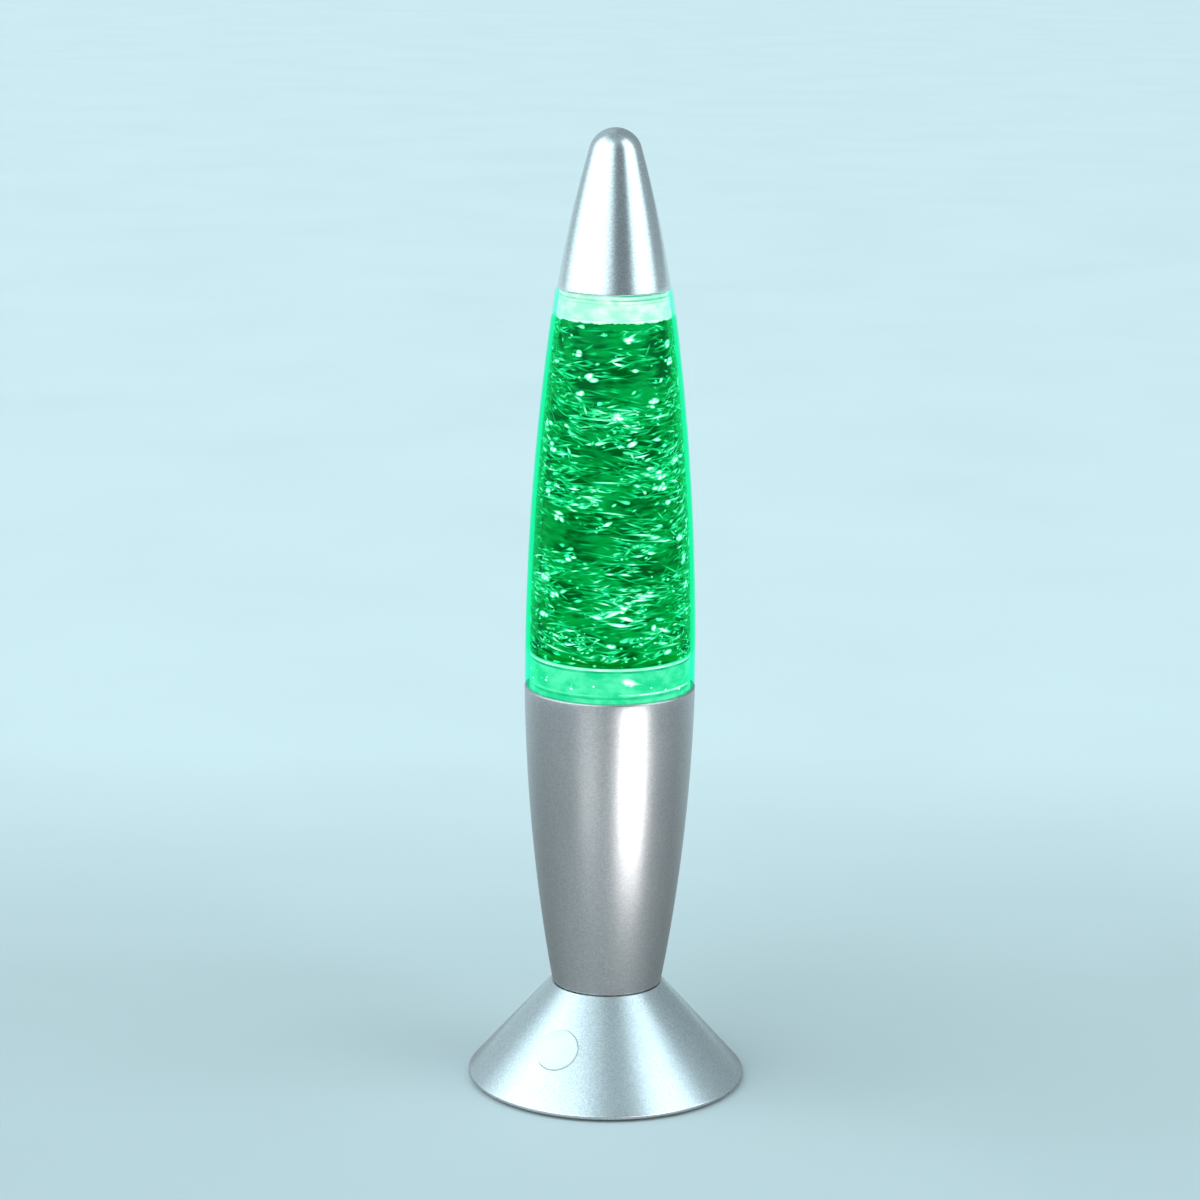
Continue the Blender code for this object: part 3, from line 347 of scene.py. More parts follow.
def plastic(name, colour, roughness, grain=0.02 * MM, scale=2200):
    """Moulded plastic or rubber with a fine texture and slight variation in shade and gloss."""
    material, tree, shader = new_material(name)
    shade = remap(tree, noise_value(tree, 60, 3), (0.3, 0.7), (0.88, 1.12))
    set_input(tree, shader.inputs["Base Color"], scaled_colour(tree, colour, shade))
    rough = remap(tree, noise_value(tree, 110, 3), (0.3, 0.7), (roughness - 0.06, roughness + 0.06))
    set_input(tree, shader.inputs["Roughness"], rough)
    bump(tree, shader, noise_value(tree, scale, 3), grain, 0.6)
    return material


def metal(name, colour, roughness, stretch=(1, 1, 30)):
    """Bare or plated metal with fine drawn lines across the stretch."""
    material, tree, shader = new_material(name, Metallic=1.0)
    lines = noise_value(tree, 900, 3, stretch)
    stain = noise_value(tree, 90, 3)
    shade = remap(tree, maths(tree, "ADD", lines, stain), (0.7, 1.3), (0.82, 1.1))
    set_input(tree, shader.inputs["Base Color"], scaled_colour(tree, colour, shade))
    rough = remap(tree, stain, (0.3, 0.7), (roughness - 0.05, roughness + 0.1))
    set_input(tree, shader.inputs["Roughness"], rough)
    bump(tree, shader, lines, 0.01 * MM, 0.5)
    return material


def windings():
    """Enamelled copper wire, wound in close turns."""
    material, tree, shader = new_material("copper_windings", Metallic=0.9, Roughness=0.3)
    waves = node(tree, "TexWave", {"Vector": position(tree), "Scale": 800.0}, bands_direction="Z")
    turns = waves.outputs["Fac"]
    # painted shade: the copper is darker in the grooves between the turns
    colour = blend_colour(tree, turns, (0.32, 0.1, 0.03), (0.8, 0.36, 0.16))
    set_input(tree, shader.inputs["Base Color"], colour)
    bump(tree, shader, turns, 0.1 * MM, 0.8)
    return material


def circuit_board():
    """Green solder mask over copper tracks, with the weave just showing."""
    material, tree, shader = new_material("solder_mask", Roughness=0.35)
    cells = node(tree, "TexVoronoi", {"Vector": position(tree), "Scale": 240.0}, feature="DISTANCE_TO_EDGE")
    tracks = remap(tree, cells.outputs["Distance"], (0.05, 0.09), (1, 0))
    weave = remap(tree, noise_value(tree, 1800, 1), (0.4, 0.6), (0.9, 1.1))
    colour = blend_colour(tree, tracks, (0.012, 0.14, 0.05), (0.03, 0.3, 0.1))
    set_input(tree, shader.inputs["Base Color"], scaled_colour(tree, colour, weave))
    bump(tree, shader, tracks, 0.04 * MM, 0.7)
    return material


def cell_sleeve(name, plus_side):
    """A battery's printed wrap: dark, with a copper-coloured band at its plus end and bare metal beyond."""
    material, tree, shader = new_material(name, Roughness=0.3)
    along = maths(tree, "MULTIPLY", coordinate(tree, "X"), float(plus_side))
    band = remap(tree, along, (10.0 * MM, 10.2 * MM), (0, 1))
    bare = remap(tree, along, (23.3 * MM, 23.4 * MM), (0, 1))
    scuff = remap(tree, noise_value(tree, 400, 4, (0.2, 1, 1)), (0.35, 0.65), (0.85, 1.1))
    colour = blend_colour(tree, band, (0.03, 0.045, 0.06), (0.55, 0.27, 0.09))
    colour = blend_colour(tree, bare, colour, (0.6, 0.6, 0.6))
    set_input(tree, shader.inputs["Base Color"], scaled_colour(tree, colour, scuff))
    shine = maths(tree, "MAXIMUM", bare, maths(tree, "MULTIPLY", band, 0.7))
    set_input(tree, shader.inputs["Metallic"], shine)
    bump(tree, shader, scuff, 0.02 * MM, 0.4)
    return material


def led_lens():
    """The LEDs' silicone over their lit chips."""
    material, tree, shader = new_material("led_silicone", Base_Color=(0.8, 0.9, 0.75), Roughness=0.15)
    spots = noise_value(tree, 700, 2)
    colour = blend_colour(tree, remap(tree, spots, (0.4, 0.6), (0, 1)), (0.1, 1.0, 0.4), (0.5, 1.0, 0.75))
    set_input(tree, shader.inputs["Emission Color"], colour)
    shader.inputs["Emission Strength"].default_value = 6.0
    return material


# ---------------------------------------------------------------- shapes


def add_object(name, data, material):
    data.materials.append(material)
    piece = bpy.data.objects.new(name, data)
    bpy.context.scene.collection.objects.link(piece)
    return piece


def finish_mesh(name, mesh, material):
    """An object from a bmesh, welded, facing out and shaded smooth up to SMOOTH_ANGLE."""
    bmesh.ops.remove_doubles(mesh, verts=mesh.verts, dist=0.001 * MM)
    bmesh.ops.recalc_face_normals(mesh, faces=mesh.faces)
    data = bpy.data.meshes.new(name)
    mesh.to_mesh(data)
    mesh.free()
    data.shade_smooth()
    data.set_sharp_from_angle(angle=SMOOTH_ANGLE)
    return add_object(name, data, material)


def rounded(outline, steps=4):
    """A closed outline of (radius, height) points, rounded at the points that give a third value."""
    points = []
    for index, point in enumerate(outline):
        corner = Vector(point[:2])
        size = point[2] if len(point) > 2 else 0
        before = Vector(outline[index - 1][:2]) - corner
        after = Vector(outline[(index + 1) % len(outline)][:2]) - corner
        if size <= 0 or before.length < 1e-9 or after.length < 1e-9:
            points.append(corner)
            continue
        half = before.angle(after) / 2
        reach = min(size / math.tan(half), before.length * 0.49, after.length * 0.49)
        start = corner + before.normalized() * reach
        stop = corner + after.normalized() * reach
        for step in range(steps + 1):
            t = step / steps
            points.append(start * (1 - t) ** 2 + corner * 2 * t * (1 - t) + stop * t**2)
    return points


def spin(mesh, outline, sides, at=(0, 0)):
    """Adds a solid of revolution to mesh from a closed outline of (radius, height) points."""
    centre = Vector((*at, 0))
    points = [mesh.verts.new(centre + Vector((max(radius, 0), 0, height))) for radius, height in outline]
    loop = list(zip(outline, outline[1:] + outline[:1], points, points[1:] + points[:1]))
    edges = [mesh.edges.new((start, stop)) for near, far, start, stop in loop if near[0] > 0 or far[0] > 0]
    geometry = points + edges
    bmesh.ops.spin(
        mesh, geom=geometry, cent=centre, axis=(0, 0, 1), angle=2 * math.pi, steps=sides, use_merge=True
    )


def turned(name, outline, material, body, stands_for=(), sides=SIDES, at=(0, 0)):
    """A turned piece that rides on a body and stands for CAD nodes."""
    mesh = bmesh.new()
    spin(mesh, rounded(outline), sides, at)
    piece = finish_mesh(name, mesh, material)
    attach(piece, body)
    if stands_for:
        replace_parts(piece, *stands_for)
    return piece


def add_rod(mesh, radius, low, high, at=(0, 0), sides=32):
    spot = Matrix.Translation((at[0], at[1], (low + high) / 2))
    bmesh.ops.create_cone(
        mesh, cap_ends=True, segments=sides, radius1=radius, radius2=radius, depth=high - low, matrix=spot
    )


def on_circle(radius, angle):
    turn = math.radians(angle)
    return radius * math.cos(turn), radius * math.sin(turn)


def steps_between(low, high, count):
    return [low + (high - low) * step / count for step in range(count + 1)]


def arc_radius(arc, height):
    largest, middle, bend = arc
    return largest - bend + math.sqrt(bend * bend - (height - middle) ** 2)


def arc_profile(arc, low, high, inset=0.0, count=28):
    return [(arc_radius(arc, height) - inset, height) for height in steps_between(low, high, count)]


def extent(name):
    """A turned node's largest radius, lowest point and highest point."""
    low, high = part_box(name)
    return (high.x - low.x) / 2, low.z, high.z


def cut_with(piece, mesh, operation="DIFFERENCE"):
    """Cuts mesh out of the piece, or joins it on, and keeps only the result."""
    helper = finish_mesh(piece.name + "_helper", mesh, piece.data.materials[0])
    boolean = piece.modifiers.new("cut", "BOOLEAN")
    boolean.operation = operation
    boolean.solver = "EXACT"
    boolean.object = helper
    bpy.context.view_layer.update()
    result = bpy.data.meshes.new_from_object(piece.evaluated_get(bpy.context.evaluated_depsgraph_get()))
    piece.modifiers.clear()
    piece.data = result
    bpy.data.objects.remove(helper)
    result.shade_smooth()
    result.set_sharp_from_angle(angle=SMOOTH_ANGLE)


# ---------------------------------------------------------------- the cap


def cap_profile(inset):
    """The nose cap's face from its rim to its tip, moved in by inset."""
    rim_radius, rim_z, tip_z = extent("top_cap")
    nose_z = tip_z - NOSE_RADIUS
    rim = Vector((rim_radius, rim_z))
    meet = Vector((NOSE_RADIUS * math.cos(NOSE_START), nose_z + NOSE_RADIUS * math.sin(NOSE_START)))
    chord = meet - rim
    outwards = Vector((chord.y, -chord.x)).normalized()
    side = []
    for share in steps_between(0, 1, 24):
        place = rim + chord * share + outwards * 4 * CAP_SIDE_RISE * share * (1 - share)
        side.append((place.x - inset, place.y))
    turns = steps_between(NOSE_START, math.pi / 2, 18)[1:-1]
    reach = NOSE_RADIUS - inset
    nose = [(reach * math.cos(turn), nose_z + reach * math.sin(turn)) for turn in turns]
    return [*side, *nose, (0, tip_z - inset)]


def make_cap():
    rim_z = extent("top_cap")[1]
    paint = silver_paint("cap_paint", (0.74, 0.755, 0.765), 0.21, [(rim_z, 0.8 * MM)])
    outer, inner = cap_profile(0), cap_profile(CAP_WALL)[::-1]
    outer[0] = (*outer[0], 0.25 * MM)
    inner[-1] = (*inner[-1], 0.3 * MM)
    turned("cap_shell", outer + inner, paint, "cap", ["top_cap"])


# ---------------------------------------------------------------- the bottle


def bore_radius(height):
    """The radius of the bottle's bore at a height, less a hair."""
    return arc_radius(BOTTLE_ARC, height) - BOTTLE_WALL - BORE_GAP


def make_bottle():
    """The bottle's wall in three lengths, each with its own tint and painted glow for the light of what is
    behind it: plug, liquid, plug.
    """
    _, low, high = extent("bottle")
    shelf, surface = extent("bottom_plug")[2], extent("liquid")[2]
    # painted light: one clear wall, given a different tint and glow in each length to match the lit plug or
    # liquid behind it
    lengths = (
        ("bottle_foot", low, shelf, (0.3, 0.97, 0.85), (0.12, 1.0, 0.6)),
        ("bottle_wall", shelf, surface, (0.1, 0.96, 0.76), (0.0, 1.0, 0.36)),
        ("bottle_rim", surface, high, (0.6, 0.985, 0.9), (0.22, 0.95, 0.58)),
    )
    soft = 0.35 * MM
    for name, start, stop, stain, glow in lengths:
        start, stop = start + SEAM / 2, stop - SEAM / 2
        outer = arc_profile(BOTTLE_ARC, start, stop)
        inner = arc_profile(BOTTLE_ARC, start, stop, BOTTLE_WALL)[::-1]
        if name == "bottle_foot":
            outer[0], inner[-1] = (*outer[0], soft), (*inner[-1], soft)
        if name == "bottle_rim":
            outer[-1], inner[0] = (*outer[-1], soft), (*inner[0], soft)
        clear = wall_plastic(name + "_plastic", stain, glow)
        stands_for = ["bottle"] if name == "bottle_wall" else []
        piece = turned(name, outer + inner, clear, "bottle", stands_for)


def make_liquid():
    """The liquid with its meniscus and the impeller's pocket, and the mass of glitter deep inside it."""
    _, floor, surface = extent("liquid")
    plug_radius, _, shelf = extent("bottom_plug")
    impeller_radius, _, impeller_top = extent("impeller")
    shelf += 0.3 * MM
    pocket = impeller_radius + 1.2 * MM
    well = plug_radius - PLUG_WALL - 0.3 * MM
    outline = [(pocket, floor), (well, floor), (well, shelf), (bore_radius(shelf), shelf)]
    heights = steps_between(shelf, surface - 1.0 * MM, 26)[1:]
    outline += [(bore_radius(height), height) for height in heights]
    edge, level, roof = bore_radius(surface), surface - 0.8 * MM, impeller_top + 0.8 * MM
    outline += [(edge, surface), (edge - 0.5 * MM, surface - 0.35 * MM), (edge - 1.6 * MM, level)]
    outline += [(0, level), (0, roof), (pocket, roof)]
    turned("liquid_column", outline, green_water(), "bottle", ["liquid"])

    low, high = shelf + 0.6 * MM, surface - 0.95 * MM
    side = [(bore_radius(height) * CLOUD_SHARE, height) for height in steps_between(low, high, 30)]
    cloud = turned("glitter_cloud", [(0, low), *side, (0, high)], glitter_cloud(), "bottle")


class Glitter:
    """Collects many small closed solids into one mesh, each with its own brightness."""

    def __init__(self):
        self.points, self.faces, self.glow = [], [], []

    def add_rings(self, rings, glows):
        """A closed solid from rings of points, all of the same number of sides."""
        start, sides = len(self.points), len(rings[0])
        for ring, glow in zip(rings, glows):
            self.points.extend(ring)
            self.glow.extend(glow)
        for row in range(len(rings) - 1):
            for side in range(sides):
                near, far = start + row * sides, start + (row + 1) * sides
                other = (side + 1) % sides
                self.faces.append((near + side, near + other, far + other, far + side))
        self.faces.append([start + side for side in reversed(range(sides))])
        self.faces.append([start + (len(rings) - 1) * sides + side for side in range(sides)])

    def make(self, name, material):
        data = bpy.data.meshes.new(name)
        data.from_pydata(self.points, [], self.faces)
        data.attributes.new("glow", "FLOAT_COLOR", "POINT")
        values = [channel for glow in self.glow for channel in (*glow, 1.0)]
        data.attributes["glow"].data.foreach_set("color", values)
        mesh = bmesh.new()
        mesh.from_mesh(data)
        bmesh.ops.recalc_face_normals(mesh, faces=mesh.faces)
        mesh.to_mesh(data)
        mesh.free()
        return add_object(name, data, material)


def crowd_and_side_light(point):
    """How crowded and bright the glitter is at a point, about 1 on average, and more on the right as painted
    light.
    """
    drift = Vector((point.x, point.y, point.z * 1.8))
    # painted light: the glitter is brighter and fuller on the right, as the light falls
    side = 0.25 * point.x / (28 * MM)
    level = 1.0 + side + 1.7 * noise.noise(drift * 46) + 0.7 * noise.noise(drift * 140 + Vector((9, 4, 2)))
    return max(level, 0.0)


def spot_in_liquid(rng, low, high, margin, deepest):
    """A random (depth, angle, height) between the cloud and the wall, and how crowded it is there, with the
    painted light on the right side counted in.
    """
    while True:
        height = rng.uniform(low, high)
        if rng.random() < (height - high) / (2 * MM) + 1:
            continue
        angle = rng.uniform(0, 2 * math.pi)
        depth = margin + deepest * rng.random() ** 1.1
        radius = bore_radius(height) - depth
        level = crowd_and_side_light(Vector((radius * math.cos(angle), radius * math.sin(angle), height)))
        if rng.random() * 3.0 < 0.25 + level**1.6:
            return (depth, angle, height), level


def lit_colour(level):
    """The colour of glitter lit green: dark green, then bright, then white as the level rises past 1."""
    blue = 0.48 * level**2
    return min(0.09 * level**6, 1.15 * blue), 0.98 * level, blue


def add_streak(glitter, place, length, width, tilt, bow=0.0, drift=0.0, core=0.0, bright=1.0, comet=False):
    """One thin sliver that lies along the wall at the given tilt and is brightest at core, from -1 to 1."""
    depth, angle, height = place
    stations = 7
    rings, glows = [], []
    for step in range(stations):
        u = -1 + 2 * step / (stations - 1)
        along = length / 2 * u
        z = height + along * math.sin(tilt) + bow * (1 - u * u)
        reach = bore_radius(z) - max(depth + drift * u, 0.0)
        turn = angle + along * math.cos(tilt) / reach
        out = Vector((math.cos(turn), math.sin(turn), 0))
        across = out.cross(Vector((0, 0, 1)))
        rise = (Vector((0, 0, math.cos(tilt))) + across * math.sin(tilt)).normalized()
        taper = math.exp(-((u - core) ** 2) * 2.2) if comet else 1 - u * u
        half = width / 2 * max(0.1, taper)
        centre = out * reach + Vector((0, 0, z))
        body = out * half * 0.45
        rings.append([centre + rise * half, centre + body, centre - rise * half, centre - body])
        level = bright * (0.5 + 0.6 * math.exp(-((u - core) ** 2) * 4.0)) * (1 - 0.3 * abs(u))
        edge, middle = lit_colour(0.62 * level + 0.06), lit_colour(level * 1.12)
        glows.append([edge, middle, edge, middle])
    glitter.add_rings(rings, glows)


def add_sliver(glitter, rng, low, high):
    """One sliver at random: most lie nearly level and a few stray, and a few are thick like comets."""
    stray = rng.random() < 0.2
    comet = rng.random() < 0.07
    tilt = rng.gauss(0.05, 0.5) if stray else rng.gauss(0.02, 0.19)
    length = rng.uniform(2.0, 6.0) * MM if stray else min(rng.lognormvariate(math.log(5.8), 0.5), 16) * MM
    width = rng.uniform(0.95, 1.4) * MM if comet else rng.uniform(0.44, 0.86) * MM
    (depth, angle, height), crowd_with_side_light = spot_in_liquid(rng, low, high, GLITTER_GAP, GLITTER_DEPTH)
    bend = Vector((math.cos(angle), math.sin(angle), height * 14))
    tilt += 0.2 * noise.noise(bend * 1.4)
    rise = abs(length / 2 * math.sin(tilt)) + 0.25 * MM
    height = min(max(height, low + rise), high - rise)
    fade = 1 - 0.5 * depth / GLITTER_DEPTH
    # the crowding term carries the painted light on the right side as well
    bright = rng.triangular(0.5, 2.2, 0.97) * fade * (0.62 + 0.34 * min(crowd_with_side_light, 2.0))
    if comet:
        bright = rng.uniform(1.3, 2.0)
    bow, drift = rng.gauss(0, 0.045) * length, min(rng.gauss(0, 0.05) * length, depth - GLITTER_GAP)
    core = rng.choice((-1, 1)) * rng.uniform(0.1, 0.75)
    add_streak(glitter, (depth, angle, height), length, width, tilt, bow, drift, core, bright, comet)


def add_flake(glitter, rng, place, size, level):
    """One rounded flake that faces roughly outwards, with a painted glint: white in the middle and green at
    its rim.
    """
    depth, angle, height = place
    stretch = rng.uniform(1.1, 2.4)
    lean = rng.gauss(0.12, 0.3)
    reach = bore_radius(height) - depth
    out = Vector((math.cos(angle), math.sin(angle), 0))
    level_way, upward = out.cross(Vector((0, 0, -1))), Vector((0, 0, 1))
    along = level_way * math.cos(lean) + upward * math.sin(lean)
    upward = upward * math.cos(lean) - level_way * math.sin(lean)
    centre = out * reach + Vector((0, 0, height))
    rings, glows = [], []
    # painted glint: the glow rises from the green rim to the white middle
    steps = ((0.3, -0.1, 0.6), (1.25, 0.0, 0.36), (0.95, 0.06, 0.62), (0.66, 0.12, 0.95), (0.3, 0.17, 1.3))
    for share, push, part in steps:
        ring = []
        for corner in range(8):
            turn = math.pi / 4 * corner
            flat = along * stretch * math.cos(turn) + upward * math.sin(turn)
            ring.append(centre + flat * size * share + out * push * MM)
        rings.append(ring)
        glows.append([lit_colour(min(level * part, 2.0))] * 8)
    glitter.add_rings(rings, glows)


def make_glitter():
    """The separate glitter near the wall: slivers, small dots, and sparks with a few dots round each."""
    rng = random.Random(GLITTER_SEED)
    _, _, shelf = extent("bottom_plug")
    _, _, surface = extent("liquid")
    low, high = shelf + 0.4 * MM, surface - 1.1 * MM
    foil = glitter_glow()
    slivers, flakes = Glitter(), Glitter()
    for _ in range(SLIVER_COUNT):
        add_sliver(slivers, rng, low, high)
    for number in range(DOT_COUNT):
        top = low + 13 * MM if number % 3 == 0 else high
        place, _ = spot_in_liquid(rng, low, top, 0.5 * MM, 3 * MM)
        add_flake(flakes, rng, place, rng.uniform(0.24, 0.5) * MM, rng.uniform(0.9, 1.4))
    for number in range(SPARK_COUNT):
        share = (number + rng.random()) / SPARK_COUNT
        height = low + 3 * MM + (high - low - 6 * MM) * share
        angle = GOLDEN_ANGLE * number + rng.gauss(0, 0.35)
        size = rng.triangular(0.55, 1.5, 0.75) * MM
        add_flake(flakes, rng, (0.6 * MM, angle, height), size, rng.uniform(1.5, 1.9))
        for _ in range(rng.choice((0, 1, 2, 3, 4))):
            near = 0.5 * MM, angle + rng.gauss(0, 0.05), min(height + rng.gauss(0, 0.7 * MM), high)
            add_flake(flakes, rng, near, rng.uniform(0.35, 0.8) * MM, rng.uniform(1.4, 1.8))
    for name, glitter in (("glitter_slivers", slivers), ("glitter_flakes", flakes)):
        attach(glitter.make(name, foil), "bottle")


def make_plugs():
    """The plugs that close the bottle, both full of light."""
    _, low, high = extent("bottom_plug")
    radius = bore_radius(high)
    top = high - 0.5 * MM
    lines = [(high - 1.4 * MM, 0.45 * MM, 0.9), (low + 11.4 * MM, 0.5 * MM, 0.6)]
    dark, light, line_colour = (0.02, 0.76, 0.33), (0.14, 0.98, 0.53), (0.0, 0.36, 0.16)
    mint = lit_plastic("lit_mint", dark, light, 150, (1, 1, 1.4), lines, line_colour)
    inner, floor, well = radius - PLUG_WALL, low + 2.2 * MM, low + 1.3 * MM
    post, post_top, pin = 3.0 * MM, floor + 1.8 * MM, 1.1 * MM
    soft = 0.3 * MM
    outline = [(0, low), (bore_radius(low), low, 0.6 * MM), (bore_radius(low + 4 * MM), low + 4 * MM)]
    outline += [(bore_radius(low + 9 * MM), low + 9 * MM), (radius, top - 5 * MM), (radius, top, soft)]
    outline += [(inner, top, soft), (inner, floor, 0.6 * MM), (post, floor, soft)]
    outline += [(post, post_top, soft), (pin, post_top, soft), (pin, well), (0, well)]
    turned("bottom_plug_cup", outline, mint, "bottle", ["bottom_plug"])

    _, low, high = extent("top_plug")
    rim = extent("bottle")[2]
    deck, skirt_wall = rim - 1.9 * MM, 1.6 * MM
    socket, socket_wall, socket_top = 14.7 * MM, 1.5 * MM, rim + 7.6 * MM
    # painted shadow: the first ring is the shade just under the cap's rim; the others are moulded edges
    lines = [(rim + 0.1 * MM, 0.5 * MM, 1.0), (rim - 1.5 * MM, 0.4 * MM, 0.7)]
    lines += [(rim - 2.7 * MM, 0.35 * MM, 0.3)]
    dark, light, line_colour = (0.5, 0.98, 0.78), (1.0, 1.08, 1.02), (0.04, 0.55, 0.33)
    pale = lit_plastic("lit_pale", dark, light, 170, (1, 1, 1.6), lines, line_colour)
    neck, bore = 6.5 * MM, 4.5 * MM
    skirt = [(bore_radius(height), height) for height in steps_between(low + 0.4 * MM, rim - 0.3 * MM, 6)]
    foot, brow = skirt[0][0], skirt[-1][0]
    outline = [(bore, deck), (brow - skirt_wall, deck, soft), (foot - skirt_wall, low, soft)]
    outline += [(foot - 0.2 * MM, low, soft), *skirt, (brow - 0.4 * MM, rim, 0.2 * MM)]
    outline += [(socket, rim), (socket, socket_top, soft), (socket - socket_wall, socket_top, soft)]
    outline += [(socket - socket_wall, rim, soft), (neck, rim, soft)]
    outline += [(neck, high, soft), (bore, high, soft)]
    turned("top_plug_deck", outline, pale, "bottle", ["top_plug"])
    add_plug_highlights_and_flakes()


def add_highlight_ring(highlight_pieces, height, thick, start, stop, level, ragged):
    """A painted highlight: a bright line round a plug, from start to stop in degrees. If it is only an arc,
    its ends thin out.
    """
    full = stop - start > 180
    rings, glows = [], []
    for angle in steps_between(start, stop, 240 if full else 80):
        turn = math.radians(angle)
        out, upward = Vector((math.cos(turn), math.sin(turn), 0)), Vector((0, 0, 1))
        flare = noise.noise(Vector((math.cos(turn) * 4, math.sin(turn) * 4, height * 900)))
        fine = noise.noise(out * 17 + Vector((3, 1, height * 400)))
        ends = 1 if full else min(1, 0.15 + min(angle - start, stop - angle) / 12)
        half = thick * (1 + ragged * (flare + fine)) * ends
        centre = out * (bore_radius(height) - 0.04 * MM) + upward * (height - half * ragged)
        proud, sunk = out * 0.1 * MM, out * 0.2 * MM
        rings.append([centre + upward * half, centre + proud, centre - upward * half, centre - sunk])
        edge, middle = lit_colour(level * 0.86), lit_colour(level * (1 + 0.12 * (flare + 0.5 * fine)))
        glows.append([edge, middle, edge, middle])
    highlight_pieces.add_rings(rings, glows)


def add_plug_highlights_and_flakes():
    """The bottom plug's painted highlights and stuck glitter, and the painted highlight on the meniscus
    under the top plug.
    """
    rng = random.Random(GLITTER_SEED + 1)
    _, low, high = extent("bottom_plug")
    surface = extent("liquid")[2]
    highlight_pieces = Glitter()
    # painted highlights: the ring at the plug's top, two arcs lower down, and the meniscus ring
    add_highlight_ring(highlight_pieces, high - 0.6 * MM, 0.45 * MM, -180, 180, 1.45, 0.1)
    add_highlight_ring(highlight_pieces, low + 12.6 * MM, 0.3 * MM, -84, -14, 1.5, 0.35)
    add_highlight_ring(highlight_pieces, low + 12.4 * MM, 0.22 * MM, -170, -96, 1.15, 0.35)
    add_highlight_ring(highlight_pieces, surface + 0.4 * MM, 0.5 * MM, -180, 180, 1.5, 0.5)
    for _ in range(PLUG_FLAKE_COUNT):
        height = rng.uniform(low + 10.5 * MM, high - 2.5 * MM)
        place = 0.1 * MM, rng.uniform(0, 2 * math.pi), height
        add_flake(highlight_pieces, rng, place, rng.choice((0.3, 0.4, 0.55, 0.8)) * MM, rng.uniform(1.1, 1.6))
    middle = low + 15 * MM
    seam = 0.05 * MM, math.radians(-118), middle
    add_streak(highlight_pieces, seam, 9 * MM, 0.3 * MM, math.pi / 2, bright=1.1)
    # painted light: a bright patch on the bottom plug's right
    spot = 0.02 * MM, math.radians(-79) + 0.14, middle + 1.4 * MM
    add_streak(highlight_pieces, spot, 11 * MM, 2.9 * MM, -0.2, core=-0.62, bright=1.9, comet=True)
    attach(highlight_pieces.make("plug_glints_and_flakes", glitter_glow()), "bottle")


# ---------------------------------------------------------------- sleeve, base and button


def make_sleeve():
    _, low, high = extent("sleeve")
    # painted shade: the sleeve has the same silver paint as the cap and base, set darker to stand in for the
    # darker room it mirrors
    paint = silver_paint("sleeve_paint", (0.51, 0.495, 0.5), 0.34, [(high, 0.9 * MM), (low, 0.8 * MM)])
    spigot, spigot_top = SPIGOT_RADIUS + 0.3 * MM, extent("base_shell")[2]
    web, web_top = spigot_top + 0.3 * MM, spigot_top + 1.9 * MM
    outer = arc_profile(SLEEVE_ARC, low, high)
    outer[0] = (*outer[0], 0.3 * MM)
    outer[-1] = (*outer[-1], 1.1 * MM)
    inner = arc_profile(SLEEVE_ARC, web_top, high, CAST_WALL)[::-1]
    inner[0] = (*inner[0], 0.4 * MM)
    outline = [(CENTRE_HOLE, web), (spigot, web), (spigot, low, 0.3 * MM)]
    outline += [*outer, *inner, (CENTRE_HOLE, web_top)]
    sleeve = turned("sleeve_shell", outline, paint, "base", ["sleeve"])
    holes = bmesh.new()
    for angle in TRIO_ANGLES:
        add_rod(holes, SCREW_HOLE, web - 1 * MM, web_top + 1 * MM, on_circle(SCREW_CIRCLE, angle))
    cut_with(sleeve, holes)


def cone_face():
    """The cone's largest radius, the height of its lip, and how much it narrows for each metre up."""
    radius, low, _ = extent("base_shell")
    lip = low + CONE_LIP
    return radius, lip, (radius - NECK_RADIUS) / (NECK_Z - lip)


def button_place():
    """The button's frame: origin on the cone's face, +Z out of it."""
    radius, lip, slope = cone_face()
    slant = math.atan2(1.0, slope)
    x, y = on_circle(radius - (BUTTON_Z - lip) * slope, math.degrees(BUTTON_ANGLE))
    turn = Matrix.Rotation(BUTTON_ANGLE, 4, "Z") @ Matrix.Rotation(slant, 4, "Y")
    return Matrix.Translation((x, y, BUTTON_Z)) @ turn


